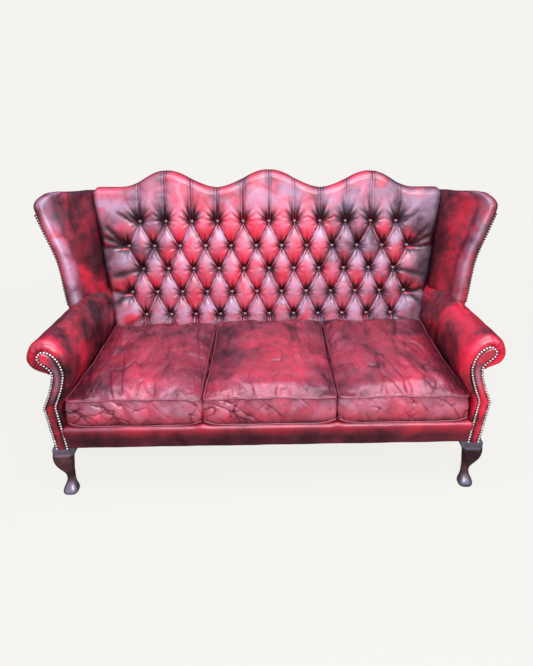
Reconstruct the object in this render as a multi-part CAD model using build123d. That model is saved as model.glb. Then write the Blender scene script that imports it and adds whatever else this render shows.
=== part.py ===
from build123d import *
import os
from math import asin, cos, hypot, pi, radians, sin, tan

# Deep-buttoned leather wing sofa with three loose seat cushions, in millimetres.
# X runs along the sofa, the seat faces -Y and Z is up. Pieces are first set out with
# y = 0 at the front of the arm facings, and moved together at the end.

# Driving dimensions
leg_height = 210
rail_height = 66
seat_rise = 92
seat_depth = 577
arm_height = 460
arm_width = 166
arm_toe_in = 55
back_height = 858
back_half_width = 720
back_lean = 11.9
back_spread = 0.117
wing_reach = 222
fit = 0.3
step_back = 4
overrun = 20

# Places that follow from them
seam_rise = 144
spread_rise = 210
wing_drop = 16
arm_set_in = 5
arm_overlap = 113
rail_top = leg_height + rail_height
deck_height = leg_height + seat_rise
seam_height = deck_height + seam_rise
crest_low = leg_height + back_height
wing_top = crest_low - wing_drop
arm_inner = back_half_width - arm_set_in
arm_length = seat_depth + arm_overlap

# Padding and timber
tuft_depth = 35
back_stuffing = 21
timber = 28
leather = 4
cloth = 1
webbing_thickness = 1.5
webbing_width = 50
back_wadding = 7
frame_depth = tuft_depth + back_stuffing + cloth + 2 * webbing_thickness
back_depth = frame_depth + timber + back_wadding

lean = Pos(0, seat_depth, seam_height) * Rot(X=-back_lean) * Pos(0, 0, -seam_height)


def both(make):
    """A left and a right piece, the right one modelled and the left its mirror image."""
    right = make()
    return {"left": mirror(right, about=Plane.YZ), "right": right}


def behind_back_plane(depth):
    """Everything behind the plane that lies this deep in the leaning back."""
    size = 2 * arm_width + 2 * back_half_width
    return lean * Pos(0, depth + size / 2, seam_height) * Box(size, size, size)


def arcs(points):
    """A chain of arcs, each through three of the points."""
    return [ThreePointArc(*points[i:i + 3]) for i in range(0, len(points) - 2, 2)]


# Legs: carved cabriole front legs, and square raked legs behind
knee_width = 84
ankle_width = 32
foot_width = 56
front_leg_out = 76
front_leg_x = arm_inner + front_leg_out
front_leg_y = 30
rear_leg_top = 50
rear_leg_foot = 34
rear_leg_rake = 72
rear_leg_in = 6
rear_leg_set = 29
rear_leg_x = back_half_width - rear_leg_in
rear_leg_y = seat_depth + rear_leg_set
bolt_diameter = 8
bolt_length = 90
bolt_in_leg = 45
# Each row: height as a share of the leg, sideways and forward moves and width as shares of
# the knee, and corner radius as a share of the width
cabriole_shares = [
    (1.00, 0.00, 0.00, 1.00, 0.06), (0.90, 0.01, 0.01, 1.00, 0.12), (0.80, 0.11, 0.12, 0.91, 0.30),
    (0.70, 0.13, 0.15, 0.82, 0.34), (0.585, 0.09, 0.14, 0.70, 0.36), (0.46, 0.02, 0.11, 0.51, 0.40),
    (0.33, -0.05, 0.11, 0.37, 0.42), (0.20, -0.05, 0.16, 0.42, 0.42), (0.10, -0.04, 0.25, 0.62, 0.40),
    (0.03, -0.04, 0.28, 0.68, 0.38), (0.00, -0.04, 0.27, 0.60, 0.38),
]


def front_leg():
    """Square head, bulging knee, thin ankle and pad foot that kicks forward."""
    sections = []
    for level, across, forward, width, corner in cabriole_shares[::-1]:
        size = width * knee_width
        place = Pos(front_leg_x + across * knee_width, front_leg_y - forward * knee_width, level * leg_height)
        sections.append(place * RectangleRounded(size, size, corner * size))
    return loft(sections) - leg_bolt(front_leg_x, front_leg_y)


def rear_leg():
    """Square tapered leg raked to the rear."""
    foot = Pos(rear_leg_x, rear_leg_y + rear_leg_rake, 0) * Rectangle(rear_leg_foot, rear_leg_foot)
    top = Pos(rear_leg_x, rear_leg_y, leg_height) * Rectangle(rear_leg_top, rear_leg_top)
    return loft([foot, top], ruled=True) - leg_bolt(rear_leg_x, rear_leg_y)


def leg_bolt(x, y):
    """Hanger bolt that stands in the leg and runs up into the post above it."""
    return Pos(x, y, leg_height - bolt_in_leg) * Cylinder(
        bolt_diameter / 2, bolt_length, align=(Align.CENTER, Align.CENTER, Align.MIN))


# Arms: a scrolled pad over a hollow frame. Each pair is (across the arm width, up the arm height).
front_skin_shares = [
    (0.25, 0.20), (0.28, 0.29), (0.32, 0.40), (0.13, 0.55), (0.02, 0.69), (0.11, 0.87), (0.48, 1.00),
    (0.85, 0.96), (1.00, 0.84), (0.93, 0.76), (0.74, 0.72), (0.63, 0.71), (0.54, 0.70),
]
front_core_shares = [
    (0.39, 0.20), (0.42, 0.30), (0.46, 0.41), (0.29, 0.56), (0.19, 0.695), (0.25, 0.83), (0.55, 0.93),
    (0.70, 0.90), (0.74, 0.86), (0.67, 0.81), (0.56, 0.775), (0.51, 0.75), (0.49, 0.725),
]
rear_skin_shares = [
    (0.26, 0.20), (0.275, 0.31), (0.27, 0.40), (0.30, 0.54), (0.36, 0.68), (0.43, 0.81), (0.66, 0.89),
    (0.84, 0.87), (0.95, 0.81), (0.93, 0.76), (0.84, 0.73), (0.78, 0.72), (0.73, 0.71),
]
rear_core_shares = [
    (0.39, 0.20), (0.405, 0.31), (0.41, 0.40), (0.45, 0.54), (0.51, 0.68), (0.55, 0.78), (0.66, 0.83),
    (0.76, 0.83), (0.81, 0.80), (0.80, 0.78), (0.76, 0.76), (0.74, 0.74), (0.72, 0.74),
]
front_outer_shares = [(0.475, 0.695), (0.59, 0.55), (0.765, 0.405), (0.64, 0.00)]
rear_outer_shares = [(0.78, 0.71), (0.705, 0.55), (0.66, 0.405), (0.52, 0.00)]
facing_foot_share = 0.345
lip_share = 0.4
facing_depth = 20
lip_front = 8
lip_back = 32


def arm_points(shares, y):
    """Points of an arm outline at one depth. The arm's rear end stands nearer the middle."""
    shift = arm_toe_in if y == arm_length else 0
    return [Vector(arm_inner - shift + a * arm_width, y, leg_height + up * arm_height) for a, up in shares]


def pad_section(skin, core):
    """Closed section of the arm pad between its skin and its hollow core."""
    ends = [Line(skin[-1], core[-1]), Line(core[0], skin[0])]
    return Wire(arcs(skin) + ends[:1] + arcs(core[::-1]) + ends[1:])


def arm_pad():
    """Scrolled pad that rolls over the facing's edge and thins towards the back."""
    core = arm_points(front_core_shares, lip_front)
    skin = arm_points(front_skin_shares, lip_front)
    rim = [c + (s - c) * lip_share for s, c in zip(skin, core)]
    full_core = arm_points(front_core_shares, lip_back)
    full_skin = arm_points(front_skin_shares, lip_back)
    rear = pad_section(arm_points(rear_skin_shares, arm_length), arm_points(rear_core_shares, arm_length))
    full = pad_section(full_skin, full_core)
    lip = Solid.make_loft([pad_section(rim, core), full], ruled=True)
    body = Solid.make_loft([full, rear], ruled=True)
    return lip + body - behind_back_plane(frame_depth)


def arm_roll_space():
    """The whole scroll above the waist of the arm, filled, which the wing's foot is cut to."""
    ends = [(front_skin_shares, lip_back), (rear_skin_shares, arm_length)]
    wires = []
    for shares, y in ends:
        points = arm_points(shares, y)[4:]
        wires.append(Wire(arcs(points) + [Line(points[-1], points[0])]))
    return Solid.make_loft(wires, ruled=True)


def facing_points(y):
    """Points round the facing: up its inner edge, over the scroll, and down its outer edge."""
    foot = arm_points([(facing_foot_share, 0)], y)
    return arm_points(front_core_shares, y)[2:], arm_points(front_outer_shares, y) + foot


def facing_outline(y):
    """Face of the shaped panel at the front of the arm."""
    core, outer = facing_points(y)
    lines = [Line(core[-1], outer[0])] + [Line(a, b) for a, b in zip(outer, outer[1:])]
    return Wire(arcs(core) + lines + [Line(outer[-1], core[0])])


def inward(tangent):
    """Direction into the facing from its edge, for a line that runs clockwise."""
    return Vector(tangent.Z, 0, -tangent.X).normalized()


def arm_facing():
    return extrude(Face(facing_outline(facing_depth)), facing_depth, dir=(0, -1, 0))


post_inset = 9
post_foot_share = 1.4


def arm_post():
    """Sawn board behind the facing, which carries the arm and stands on the leg."""
    core, outer = facing_points(facing_depth + timber)
    feet = [outer[-2] + (outer[-2] - outer[-3]) * post_foot_share,
            core[0] + (outer[-1] - core[0]) * post_foot_share]
    edge = core[:-1] + outer[:-2] + feet
    corners = []
    for before, point, after in zip(edge[-1:] + edge, edge, edge[1:] + edge[:1]):
        into, out = inward(point - before), inward(after - point)
        corners.append(point + (into + out) * post_inset / (1 + into.dot(out)))
    board = extrude(Face(Wire.make_polygon(corners)), timber, dir=(0, -1, 0))
    return split(board, bisect_by=Plane.XY.offset(leg_height), keep=Keep.TOP) - leg_bolt(front_leg_x, front_leg_y)


def outside_arm_panel():
    """Flat leather on the outside of the arm, from under the scroll to the bottom rail."""
    wires = []
    for shares, y in ((front_outer_shares, facing_depth), (rear_outer_shares, arm_length)):
        outer = arm_points(shares, y)
        inner = [p - Vector(leather, 0, 0) for p in outer]
        wires.append(Wire.make_polygon(outer + inner[::-1]))
    return Solid.make_loft(wires, ruled=True) - behind_back_plane(back_depth)


arm_rail_size = 22
tack_rail_inset = 4
arm_rail_front_share = (0.49, 0.83)
arm_rail_rear_share = (0.645, 0.765)


def straight_rail(front, rear, width, height, front_y):
    """Timber between two section centres, from the arm post back to the back post."""
    ends = []
    for (x, z), y in ((front, front_y), (rear, arm_length)):
        ends.append(Plane(origin=(x, y, z), x_dir=(1, 0, 0), z_dir=(0, -1, 0)) * Rectangle(width, height))
    return loft(ends, ruled=True) - behind_back_plane(frame_depth)


def arm_top_rail():
    front = arm_points([arm_rail_front_share], 0)[0]
    rear = arm_points([arm_rail_rear_share], arm_length)[0]
    return straight_rail((front.X, front.Z), (rear.X, rear.Z), arm_rail_size, arm_rail_size,
                         facing_depth + timber)


def rail_inner_x(y):
    """Inner face of the side seat rail at one depth, under the foot of the outside panel."""
    front = arm_points(front_outer_shares, 0)[-1].X
    rear = arm_points(rear_outer_shares, arm_length)[-1].X
    return front + (rear - front) * (y - facing_depth) / (arm_length - facing_depth) - leather - timber


def side_seat_rail():
    """Seat rail under the arm, against the outside panel."""
    front = rail_inner_x(facing_depth + timber) + timber / 2
    rear = rail_inner_x(arm_length) + timber / 2
    middle = leg_height + rail_height / 2
    return straight_rail((front, middle), (rear, middle), timber, rail_height, facing_depth + timber)


def arm_tack_rail():
    """Rail that the lower edge of the arm pad is tacked to."""
    front = arm_points(front_core_shares, 0)[0].X
    rear = arm_points(rear_core_shares, arm_length)[0].X
    height = deck_height - rail_top
    middle = rail_top + height / 2
    return straight_rail((front - tack_rail_inset, middle), (rear, middle), timber, height, facing_depth + timber)


# Seat frame
rail_cover_front = 3
rail_cover_thickness = 17
rail_lip = 60
rail_lip_height = 16
front_rail_y = rail_cover_front + rail_cover_thickness
back_rail_set = 11
back_rail_y = seat_depth + back_rail_set
block_size = 70


def rail_half_width(z):
    """Half width between the inner edges of the two facings at one height."""
    foot = arm_inner + facing_foot_share * arm_width
    knee = arm_points(front_core_shares, 0)[2]
    return foot + (knee.X - foot) * (z - leg_height) / (knee.Z - leg_height)


def front_seat_rail():
    length = 2 * rail_half_width(leg_height)
    low = (Align.CENTER, Align.MIN, Align.MIN)
    return Pos(0, front_rail_y, leg_height) * Box(length, timber, rail_height, align=low)


def front_rail_cover():
    """Padded leather over the front rail, with a rolled lip under the cushions."""
    back = front_rail_y
    step = rail_cover_thickness
    low = rail_half_width(leg_height)
    high = rail_half_width(deck_height - step)
    corners = [(-low, leg_height), (low, leg_height), (high, deck_height - step), (-high, deck_height - step)]
    panel = extrude(Plane.XZ.offset(-back) * Polygon(*corners, align=None), step)
    inner = arm_points(front_skin_shares, 0)[0].X - step_back
    top = Vector(0, back, deck_height)
    end = Vector(0, rail_lip, deck_height)
    drop = Vector(0, 0, -rail_lip_height)
    nose = Vector(0, back - step, deck_height - step)
    bend = top + Vector(0, -step * sin(radians(45)), -step * (1 - sin(radians(45))))
    lines = [ThreePointArc(nose, bend, top), Line(top, end), Line(end, end + drop), Line(end + drop, top + drop),
             Line(top + drop, nose)]
    return panel + extrude(Face(Wire(lines)), inner, dir=(1, 0, 0), both=True)


def back_seat_rail():
    length = 2 * inner_post_x(leg_height)
    low = (Align.CENTER, Align.MIN, Align.MIN)
    return Pos(0, back_rail_y, leg_height) * Box(length, timber, rail_height, align=low)


def seat_stretcher(x):
    """Cross rail that stiffens the seat between the front and back rails."""
    front = front_rail_y + timber
    low = (Align.CENTER, Align.MIN, Align.MIN)
    return Pos(x, front, leg_height) * Box(timber, back_rail_y - front, rail_height / 2, align=low)


def corner_block(x, y, across, along):
    """Triangular glue block in a corner of the seat frame."""
    corners = [(x, y), (x + across * block_size, y), (x, y + along * block_size)]
    return Pos(0, 0, leg_height + step_back) * extrude(
        Polygon(*corners, align=None), rail_height - 2 * step_back, dir=(0, 0, 1))


def corner_blocks():
    front = front_rail_y + timber
    blocks = []
    for y, along in ((front, 1), (back_rail_y, -1)):
        reach = rail_inner_x(y + max(along, 0) * block_size)
        blocks.append(corner_block(reach, y, -1, along))
    return blocks + [mirror(block, about=Plane.YZ) for block in blocks]


# Suspension: sinuous springs in clips, with spring cloth and a stuffed platform over them
spring_count = 14
spring_wire = 4
spring_swing = 44
spring_step = 23
spring_bend_share = 0.48
spring_spacing = 2 * back_half_width / (spring_count + 1)
clip_length = 20
clip_width = 56
clip_height = 9
spring_z = rail_top + clip_height / 2


def spring():
    """One zigzag of round wire that runs from the front rail to the back rail."""
    start = front_rail_y + timber - clip_length / 2
    end = back_rail_y + clip_length / 2
    turns = int((end - start) / spring_step)
    step = (end - start) / turns
    side = spring_swing / 2
    points = []
    for turn in range(turns + 1):
        pair = [(-side, start + turn * step, spring_z), (side, start + turn * step, spring_z)]
        points += pair if turn % 2 == 0 else pair[::-1]
    path = FilletPolyline(*points, radius=spring_bend_share * step)
    section = Plane(origin=path @ 0, z_dir=path % 0) * Circle(spring_wire / 2)
    return sweep(section, path=path)


def spring_places():
    return [(i - (spring_count - 1) / 2) * spring_spacing for i in range(spring_count)]


def seat_springs():
    one = spring()
    return [Pos(x, 0, 0) * one for x in spring_places()]


def spring_clips(springs):
    """Folded steel clips, nailed on the rails, that hold the two ends of each spring."""
    clips = []
    for y in (front_rail_y + timber - clip_length / 2, back_rail_y + clip_length / 2):
        clip = Pos(0, y, rail_top) * Box(
            clip_width, clip_length, clip_height, align=(Align.CENTER, Align.CENTER, Align.MIN))
        clips.append(clip - (Pos(-spring_places()[0], 0, 0) * springs[0]))
    return [Pos(x, 0, 0) * clip for x in spring_places() for clip in clips]


def deck_layer(low, high, front, rear):
    """A flat layer between the arms at one height of the seat."""
    inner = [straight_inner(front), straight_inner(rear)]
    corners = [(-inner[0], front), (inner[0], front), (inner[1], rear), (-inner[1], rear)]
    return Pos(0, 0, low) * extrude(Polygon(*corners, align=None), high - low, dir=(0, 0, 1))


def straight_inner(y):
    """Inner face of the arm's tack rail at one depth."""
    front = arm_points(front_core_shares, 0)[0].X - tack_rail_inset
    rear = arm_points(rear_core_shares, arm_length)[0].X
    start = facing_depth + timber
    return front + (rear - front) * (y - start) / (arm_length - start) - timber / 2


cloth_low = rail_top + clip_height
platform_rear = seat_depth - step_back


def spring_cloth():
    return deck_layer(cloth_low, cloth_low + cloth, rail_lip, back_rail_y)


def seat_platform():
    return deck_layer(cloth_low + cloth, deck_height, rail_lip, platform_rear)


def dust_cover():
    """Black cloth tacked under the seat rails, cut round the legs."""
    sheet = Pos(0, 0, -cloth) * deck_layer(leg_height, leg_height + cloth, front_rail_y, back_rail_y + timber)
    for x, y in ((front_leg_x, front_leg_y), (rear_leg_x, rear_leg_y)):
        for side in (-1, 1):
            sheet -= Pos(side * x, y, leg_height) * Box(knee_width + cloth, knee_width + cloth, block_size)
    return sheet


# Back: all of it is set out upright, with y = 0 on the crowns of the tufts, and then leaned
crest_rise = 80
side_crest_rise = 75
valley_x = 0.3306 * back_half_width
side_crest_x = 0.6458 * back_half_width
shoulder_x = 0.9236 * back_half_width
crest_roll = 22
row_counts = [11, 12, 11, 12, 11]
row_shares = [0.0, 0.260, 0.503, 0.754, 1.0]
top_row_drop = 159
bottom_row_rise = 168
top_row = crest_low - top_row_drop
bottom_row = deck_height + bottom_row_rise
top_pitch = 0.1635 * back_half_width
bottom_pitch = 0.1597 * back_half_width
tuft_gap = 1.5
tuft_root = 3
shoulder_bulge_share = 0.8
roll_bulge_share = 0.45
tuft_stations = (0.5, 1)
post_width = 50
back_foot = deck_height + tuft_root
back_panel_thickness = 3


def side_x(s):
    """Half width of the inside back at one height of the leaning back."""
    return back_half_width + (s - leg_height - spread_rise) * back_spread


def crest(x):
    """Height of the serpentine crest, with one hump in the middle and one each side."""
    x = abs(x)
    if x < valley_x:
        return crest_low + crest_rise * (1 + cos(pi * x / valley_x)) / 2
    if x < side_crest_x:
        return crest_low + side_crest_rise * (1 - cos(pi * (x - valley_x) / (side_crest_x - valley_x))) / 2
    if x < shoulder_x:
        return crest_low + side_crest_rise * (1 + cos(pi * (x - side_crest_x) / (shoulder_x - side_crest_x))) / 2
    return crest_low


def crest_line(drop, half_width, y):
    """Edges from left to right along the crest, lowered by the drop."""
    turns = [0, valley_x, side_crest_x, shoulder_x]
    stops = [0.0]
    for a, b in zip(turns, turns[1:]):
        stops += [a + (b - a) / 4, (a + b) / 2, b - (b - a) / 4, b]
    stops = [-x for x in stops[:0:-1]] + stops
    points = [Vector(x, y, crest(x) - drop) for x in stops]
    ends = [Vector(side * half_width, y, crest_low - drop) for side in (-1, 1)]
    return [Line(ends[0], points[0])] + arcs(points) + [Line(points[-1], ends[1])]


def crest_board(drop, half_width, foot, foot_half_width, front, rear):
    """Board of the back between two depths, with the serpentine along its top."""
    top = crest_line(drop, half_width, front)
    right = top[-1] @ 1
    left = top[0] @ 0
    low = [Vector(side * foot_half_width, front, foot) for side in (1, -1)]
    outline = Wire(top + [Line(right, low[0]), Line(low[0], low[1]), Line(low[1], left)])
    return extrude(Face(outline), rear - front, dir=(0, 1, 0))


def bulge(left, right, height):
    """D-shaped section of a tuft: a straight root in the stuffing and an arc that swells forward."""
    root = tuft_depth + tuft_root
    a = Vector(left[0], root, left[1])
    b = Vector(right[0], root, right[1])
    middle = (a + b) / 2
    top = Vector(middle.X, tuft_depth - height, middle.Z)
    return Wire([ThreePointArc(a, top, b), Line(b, a)])


def row_heights():
    return [top_row + (bottom_row - top_row) * share for share in row_shares]


def row_places(row):
    """Button places along one row, from left to right."""
    pitch = top_pitch + (bottom_pitch - top_pitch) * row_shares[row]
    return [(i - (row_counts[row] - 1) / 2) * pitch for i in range(row_counts[row])]


def tip(x, s):
    return Vertex(x, tuft_depth + tuft_root, s)


def diamond_tufts():
    """Diamonds between four buttons, each in two halves that swell to its middle."""
    tufts = []
    heights = row_heights()
    for row in (1, 2, 3):
        places = row_places(row)
        top = heights[row - 1] - 2 * tuft_gap
        low = heights[row + 1] + 2 * tuft_gap
        for a, b in zip(places, places[1:]):
            middle = (a + b) / 2
            for end in (a + tuft_gap, b - tuft_gap):
                sections = [tip(end, heights[row])]
                for fullness in tuft_stations:
                    x = end + (middle - end) * fullness
                    high = heights[row] + (top - heights[row]) * fullness
                    deep = heights[row] + (low - heights[row]) * fullness
                    height = tuft_depth * (1 if fullness == 1 else shoulder_bulge_share)
                    sections.append(bulge((x, deep), (x, high), height))
                tufts.append(Solid.make_loft(sections, ruled=True))
    return tufts


def channel_tufts():
    """Upright channels above the top row, over the crest, and below the bottom row."""
    tufts = []
    heights = row_heights()
    for row, next_row in ((0, 1), (4, 3)):
        places = row_places(row)
        for a, b in zip(places, places[1:]):
            a, b = a + tuft_gap, b - tuft_gap
            sections = [tip((a + b) / 2, heights[next_row]), bulge((a, heights[row]), (b, heights[row]), tuft_depth)]
            if row == 0:
                for drop, fullness in ((crest_roll, 1), (tuft_root, roll_bulge_share)):
                    ends = [(x, crest(x) - drop) for x in (a, b)]
                    sections.append(bulge(*ends, tuft_depth * fullness))
            else:
                sections.append(bulge((a, back_foot), (b, back_foot), tuft_depth))
            tufts.append(Solid.make_loft(sections, ruled=True))
    return tufts


def side_tufts():
    """Fuller tufts between the end buttons and the wing, on the right-hand side."""
    heights = row_heights()
    ends = [row_places(row)[-1] for row in range(5)]
    gap = tuft_gap
    high, low = heights[1] - gap, heights[3] + gap
    wing = [side_x(s) - gap for s in (low, high)]
    inner = (ends[1] + ends[3]) / 2
    middle = [tip(ends[2] + gap, heights[2]), bulge((inner, low), (inner, high), tuft_depth),
              bulge((wing[0], low), (wing[1], high), tuft_depth * shoulder_bulge_share)]
    upper = [bulge((ends[1], heights[1] + gap), (side_x(heights[1]) - gap, heights[1] + gap), tuft_gap),
             bulge((ends[0] + gap, heights[0]), (side_x(heights[0]) - gap, heights[0]), tuft_depth)]
    for drop, fullness in ((crest_roll, 1), (tuft_root, roll_bulge_share)):
        pair = [(x, crest(x) - drop) for x in (ends[0] + gap, side_x(crest_low - drop) - gap)]
        upper.append(bulge(*pair, tuft_depth * fullness))
    lower = [bulge((ends[3], heights[3] - gap), (side_x(heights[3]) - gap, heights[3] - gap), tuft_gap),
             bulge((ends[4] + gap, heights[4]), (side_x(heights[4]) - gap, heights[4]), tuft_depth),
             bulge((ends[4] + gap, back_foot), (side_x(back_foot) - gap, back_foot), tuft_depth)]
    return [Solid.make_loft(stations, ruled=True) for stations in (middle, upper, lower)]


def tufted_back():
    """Inside back: stuffing slab, deep tufts and the roll over the top rail."""
    slab = crest_board(tuft_root, side_x(crest_low - tuft_root), back_foot, side_x(back_foot), tuft_depth,
                       tuft_depth + back_stuffing)
    low = crest_low - crest_roll
    wide = side_x(low) + post_width - leather
    roll = crest_board(tuft_root, side_x(low), low, side_x(low), tuft_depth + back_stuffing, back_depth)
    ends = (Align.CENTER, Align.MIN, Align.MIN)
    roll += Pos(0, frame_depth, low) * Box(2 * wide, back_depth - frame_depth, wing_top - low, align=ends)
    hollow = crest_board(crest_roll, wide + overrun, back_foot, wide + overrun, tuft_depth + back_stuffing,
                         back_depth + overrun)
    sides = side_tufts()
    sides += [mirror(tuft, about=Plane.YZ) for tuft in sides]
    return slab.fuse(roll - hollow, *diamond_tufts(), *channel_tufts(), *sides)


button_diameter = 22
button_dome = 9
button_shank = 4
button_stem = 7


def domed_head(radius, dome, stem, shank):
    """Head that is part of a ball, towards -Y, with a thin shank behind it."""
    ball = (radius ** 2 + dome ** 2) / (2 * dome)
    half = asin(radius / ball) / 2
    middle = Vector(ball * sin(half), 0, ball - dome - ball * cos(half))
    corners = [Vector(0, 0, -dome), Vector(0, 0, shank), Vector(stem, 0, shank), Vector(stem, 0, 0),
               Vector(radius, 0, 0)]
    lines = [Line(a, b) for a, b in zip(corners, corners[1:])]
    outline = Wire(lines + [ThreePointArc(corners[-1], middle, corners[0])])
    return Rot(X=-90) * revolve(Face(outline), Axis.Z)


def back_buttons():
    """Leather-covered buttons, pulled down to the bottom of the tufts."""
    one = domed_head(button_diameter / 2, button_dome, button_stem / 2, button_shank)
    return [Pos(x, tuft_depth, s) * one for row, s in enumerate(row_heights()) for x in row_places(row)]


top_rail_height = 90
muntin_x = 0.347 * back_half_width
muntin_width = 45
lower_rail_rise = 15
lower_rail_foot = back_foot + lower_rail_rise
lower_rail_height = 60
strap_rows = 5
strap_columns = 6


def back_post():
    """Upright that carries the back, the arm and the wing, and stands on the rear leg."""
    low = leg_height - timber
    top = crest_low - crest_roll
    corners = [(side_x(low) - timber / 2, low), (side_x(low) + post_width - leather, low),
               (side_x(top) + post_width - leather, top), (side_x(top) - timber / 2, top)]
    board = extrude(Plane.XZ.offset(-frame_depth) * Polygon(*corners, align=None), -timber)
    post = lean * board - leg_bolt(rear_leg_x, rear_leg_y)
    return split(post, bisect_by=Plane.XY.offset(leg_height), keep=Keep.TOP)


def inner_post_x(s):
    return side_x(s) - timber / 2


def back_top_rail():
    """Sawn rail that gives the crest its curves."""
    low = crest_low - top_rail_height
    board = crest_board(crest_roll + step_back, inner_post_x(low), low, inner_post_x(low), frame_depth,
                        frame_depth + timber)
    return lean * board


def back_lower_rail():
    half = inner_post_x(lower_rail_foot)
    low = (Align.CENTER, Align.MIN, Align.MIN)
    return lean * Pos(0, frame_depth, lower_rail_foot) * Box(2 * half, timber, lower_rail_height, align=low)


def back_muntins():
    """Uprights between the lower and the top rail."""
    foot = lower_rail_foot + lower_rail_height
    low = (Align.CENTER, Align.MIN, Align.MIN)
    slat = Box(muntin_width, timber, crest_low - top_rail_height - foot, align=low)
    return [lean * Pos(side * muntin_x, frame_depth, foot) * slat for side in (-1, 1)]


def back_webbing():
    """Jute straps across the frame, the upright ones in front."""
    low_s = lower_rail_foot + lower_rail_height / 2
    high_s = crest_low - top_rail_height / 2
    low = (Align.CENTER, Align.MIN, Align.MIN)
    front = frame_depth - 2 * webbing_thickness
    upright = Box(webbing_width, webbing_thickness, high_s - low_s, align=low)
    straps = []
    for i in range(strap_columns):
        x = (i - (strap_columns - 1) / 2) * 2 * side_crest_x / strap_columns
        straps.append(Pos(x, front, low_s) * upright)
    for i in range(strap_rows):
        s = low_s + (i + 1) * (high_s - low_s) / (strap_rows + 1)
        across = Box(2 * (side_x(s) - overrun), webbing_thickness, webbing_width, align=low)
        straps.append(Pos(0, front + webbing_thickness, s) * across)
    return [lean * strap for strap in straps]


def back_hessian():
    """Cloth between the webbing and the stuffing."""
    board = crest_board(crest_roll + step_back, side_x(crest_low) - timber, back_foot + timber,
                        side_x(back_foot) - timber, tuft_depth + back_stuffing, tuft_depth + back_stuffing + cloth)
    return lean * board


def outside_back_panel():
    """Flat leather on the rear, from the crest to the bottom rail."""
    wide = side_x(crest_low) + post_width - leather
    foot = leg_height - timber / 2
    foot_wide = side_x(foot) + post_width - leather
    drop = crest_low - wing_top
    panel = crest_board(drop, wide, foot, foot_wide, back_depth, back_depth + back_panel_thickness)
    return split(lean * panel, bisect_by=Plane.XY.offset(leg_height), keep=Keep.TOP)


# Wings: a padded inside that wraps the front edge, a timber frame and a flat outside panel
wing_lap = 120
wing_out = 122
wing_foot = leg_height + arm_height - wing_lap
wing_foot_x = back_half_width + wing_out
wing_flare = 120
wing_corner = 72
wing_corner_length = 112
wing_thickness = 52
wing_pad_share = 0.45
wing_panel_share = 0.93
wing_wrap_share = 0.85
wing_post_share = 0.6
nose_bulge = 17
# Each row: height as a share of the wing, and how much of the flare its front edge has there
wing_edge_shares = [(0.0, 0.0), (0.15, 0.11), (0.43, 0.31), (0.70, 0.73), (0.865, 0.975), (1.0, 1.0)]


def wing_front_x(s):
    """Outer edge of the wing's front at one height, between the rows of the table."""
    rise = wing_top - wing_foot
    pairs = zip(wing_edge_shares, wing_edge_shares[1:])
    (a, x0), (b, x1) = [pair for pair in pairs if pair[0][0] * rise <= s - wing_foot + fit][-1]
    return wing_foot_x + wing_flare * (x0 + (x1 - x0) * ((s - wing_foot) / rise - a) / (b - a))


def wing_levels(low, high):
    """Heights between the two, with the rows of the table that fall between them."""
    rows = [wing_foot + share * (wing_top - wing_foot) for share, _ in wing_edge_shares]
    return [low] + [s for s in rows if low + fit < s < high - fit] + [high]


def wing_paths(s):
    """Inside and outside line of the wing at one height, from the rear to the front edge."""
    x = side_x(s)
    edge = wing_front_x(s)
    reach = wing_reach - (wing_thickness + nose_bulge) / 2
    length = hypot(edge - x, reach)
    normal = Vector(reach / length, (edge - x) / length, 0)
    outer_end = Vector(edge, -reach, s)
    inner_end = outer_end - normal * wing_thickness
    inner = [Vector(x, back_depth, s), Vector(x, frame_depth, s), Vector(x, 0, s), inner_end]
    outer = [Vector(x + post_width, back_depth, s), Vector(x + post_width, frame_depth, s),
             Vector(x + post_width + leather, 0, s), outer_end]
    for path in (inner, outer):
        path.insert(3, path[2] + (path[3] - path[2]) * wing_wrap_share)
    return inner, outer, normal


def wing_layer(low, high, inside, outside, first, last):
    """Layer between two shares of the wing's thickness and two places along its path."""
    wires = []
    for s in wing_levels(low, high):
        inner, outer, _ = wing_paths(s)
        near = [a + (b - a) * inside for a, b in zip(inner, outer)][first:last + 1]
        far = [a + (b - a) * outside for a, b in zip(inner, outer)][first:last + 1]
        wires.append(Wire.make_polygon(near + far[::-1]))
    return Solid.make_loft(wires, ruled=True)


def wing_front(low, high):
    """The padded front edge of the wing, round its nose."""
    wires = []
    for s in wing_levels(low, high):
        inner, outer, normal = wing_paths(s)
        ahead = Vector(normal.Y, -normal.X, 0)
        nose = (inner[4] + outer[4]) / 2 + ahead * nose_bulge
        lines = [Line(inner[3], inner[4]), ThreePointArc(inner[4], nose, outer[4]), Line(outer[4], outer[3]),
                 Line(outer[3], inner[3])]
        wires.append(Wire(lines))
    return Solid.make_loft(wires, ruled=True)


def wing_outline():
    """Side view of the wing, with its rounded top corner, as a cutter."""
    front = wing_reach + overrun
    nose = wing_reach - nose_bulge / 2
    corners = [Vector(0, wing_corner_length - nose, wing_top), Vector(0, -nose, wing_top - wing_corner)]
    quarter = sin(radians(45))
    bend = Vector(0, corners[0].Y - wing_corner_length * quarter, wing_top - wing_corner * (1 - quarter))
    rest = [Vector(0, -front, wing_top - wing_corner), Vector(0, -front, wing_foot),
            Vector(0, back_depth, wing_foot), Vector(0, back_depth, wing_top)]
    chain = [corners[1]] + rest + [corners[0]]
    lines = [ThreePointArc(corners[0], bend, corners[1])] + [Line(a, b) for a, b in zip(chain, chain[1:])]
    start = Vector(back_half_width / 2, 0, 0)
    return extrude(Pos(*start) * Face(Wire(lines)), back_half_width, dir=(1, 0, 0))


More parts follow.
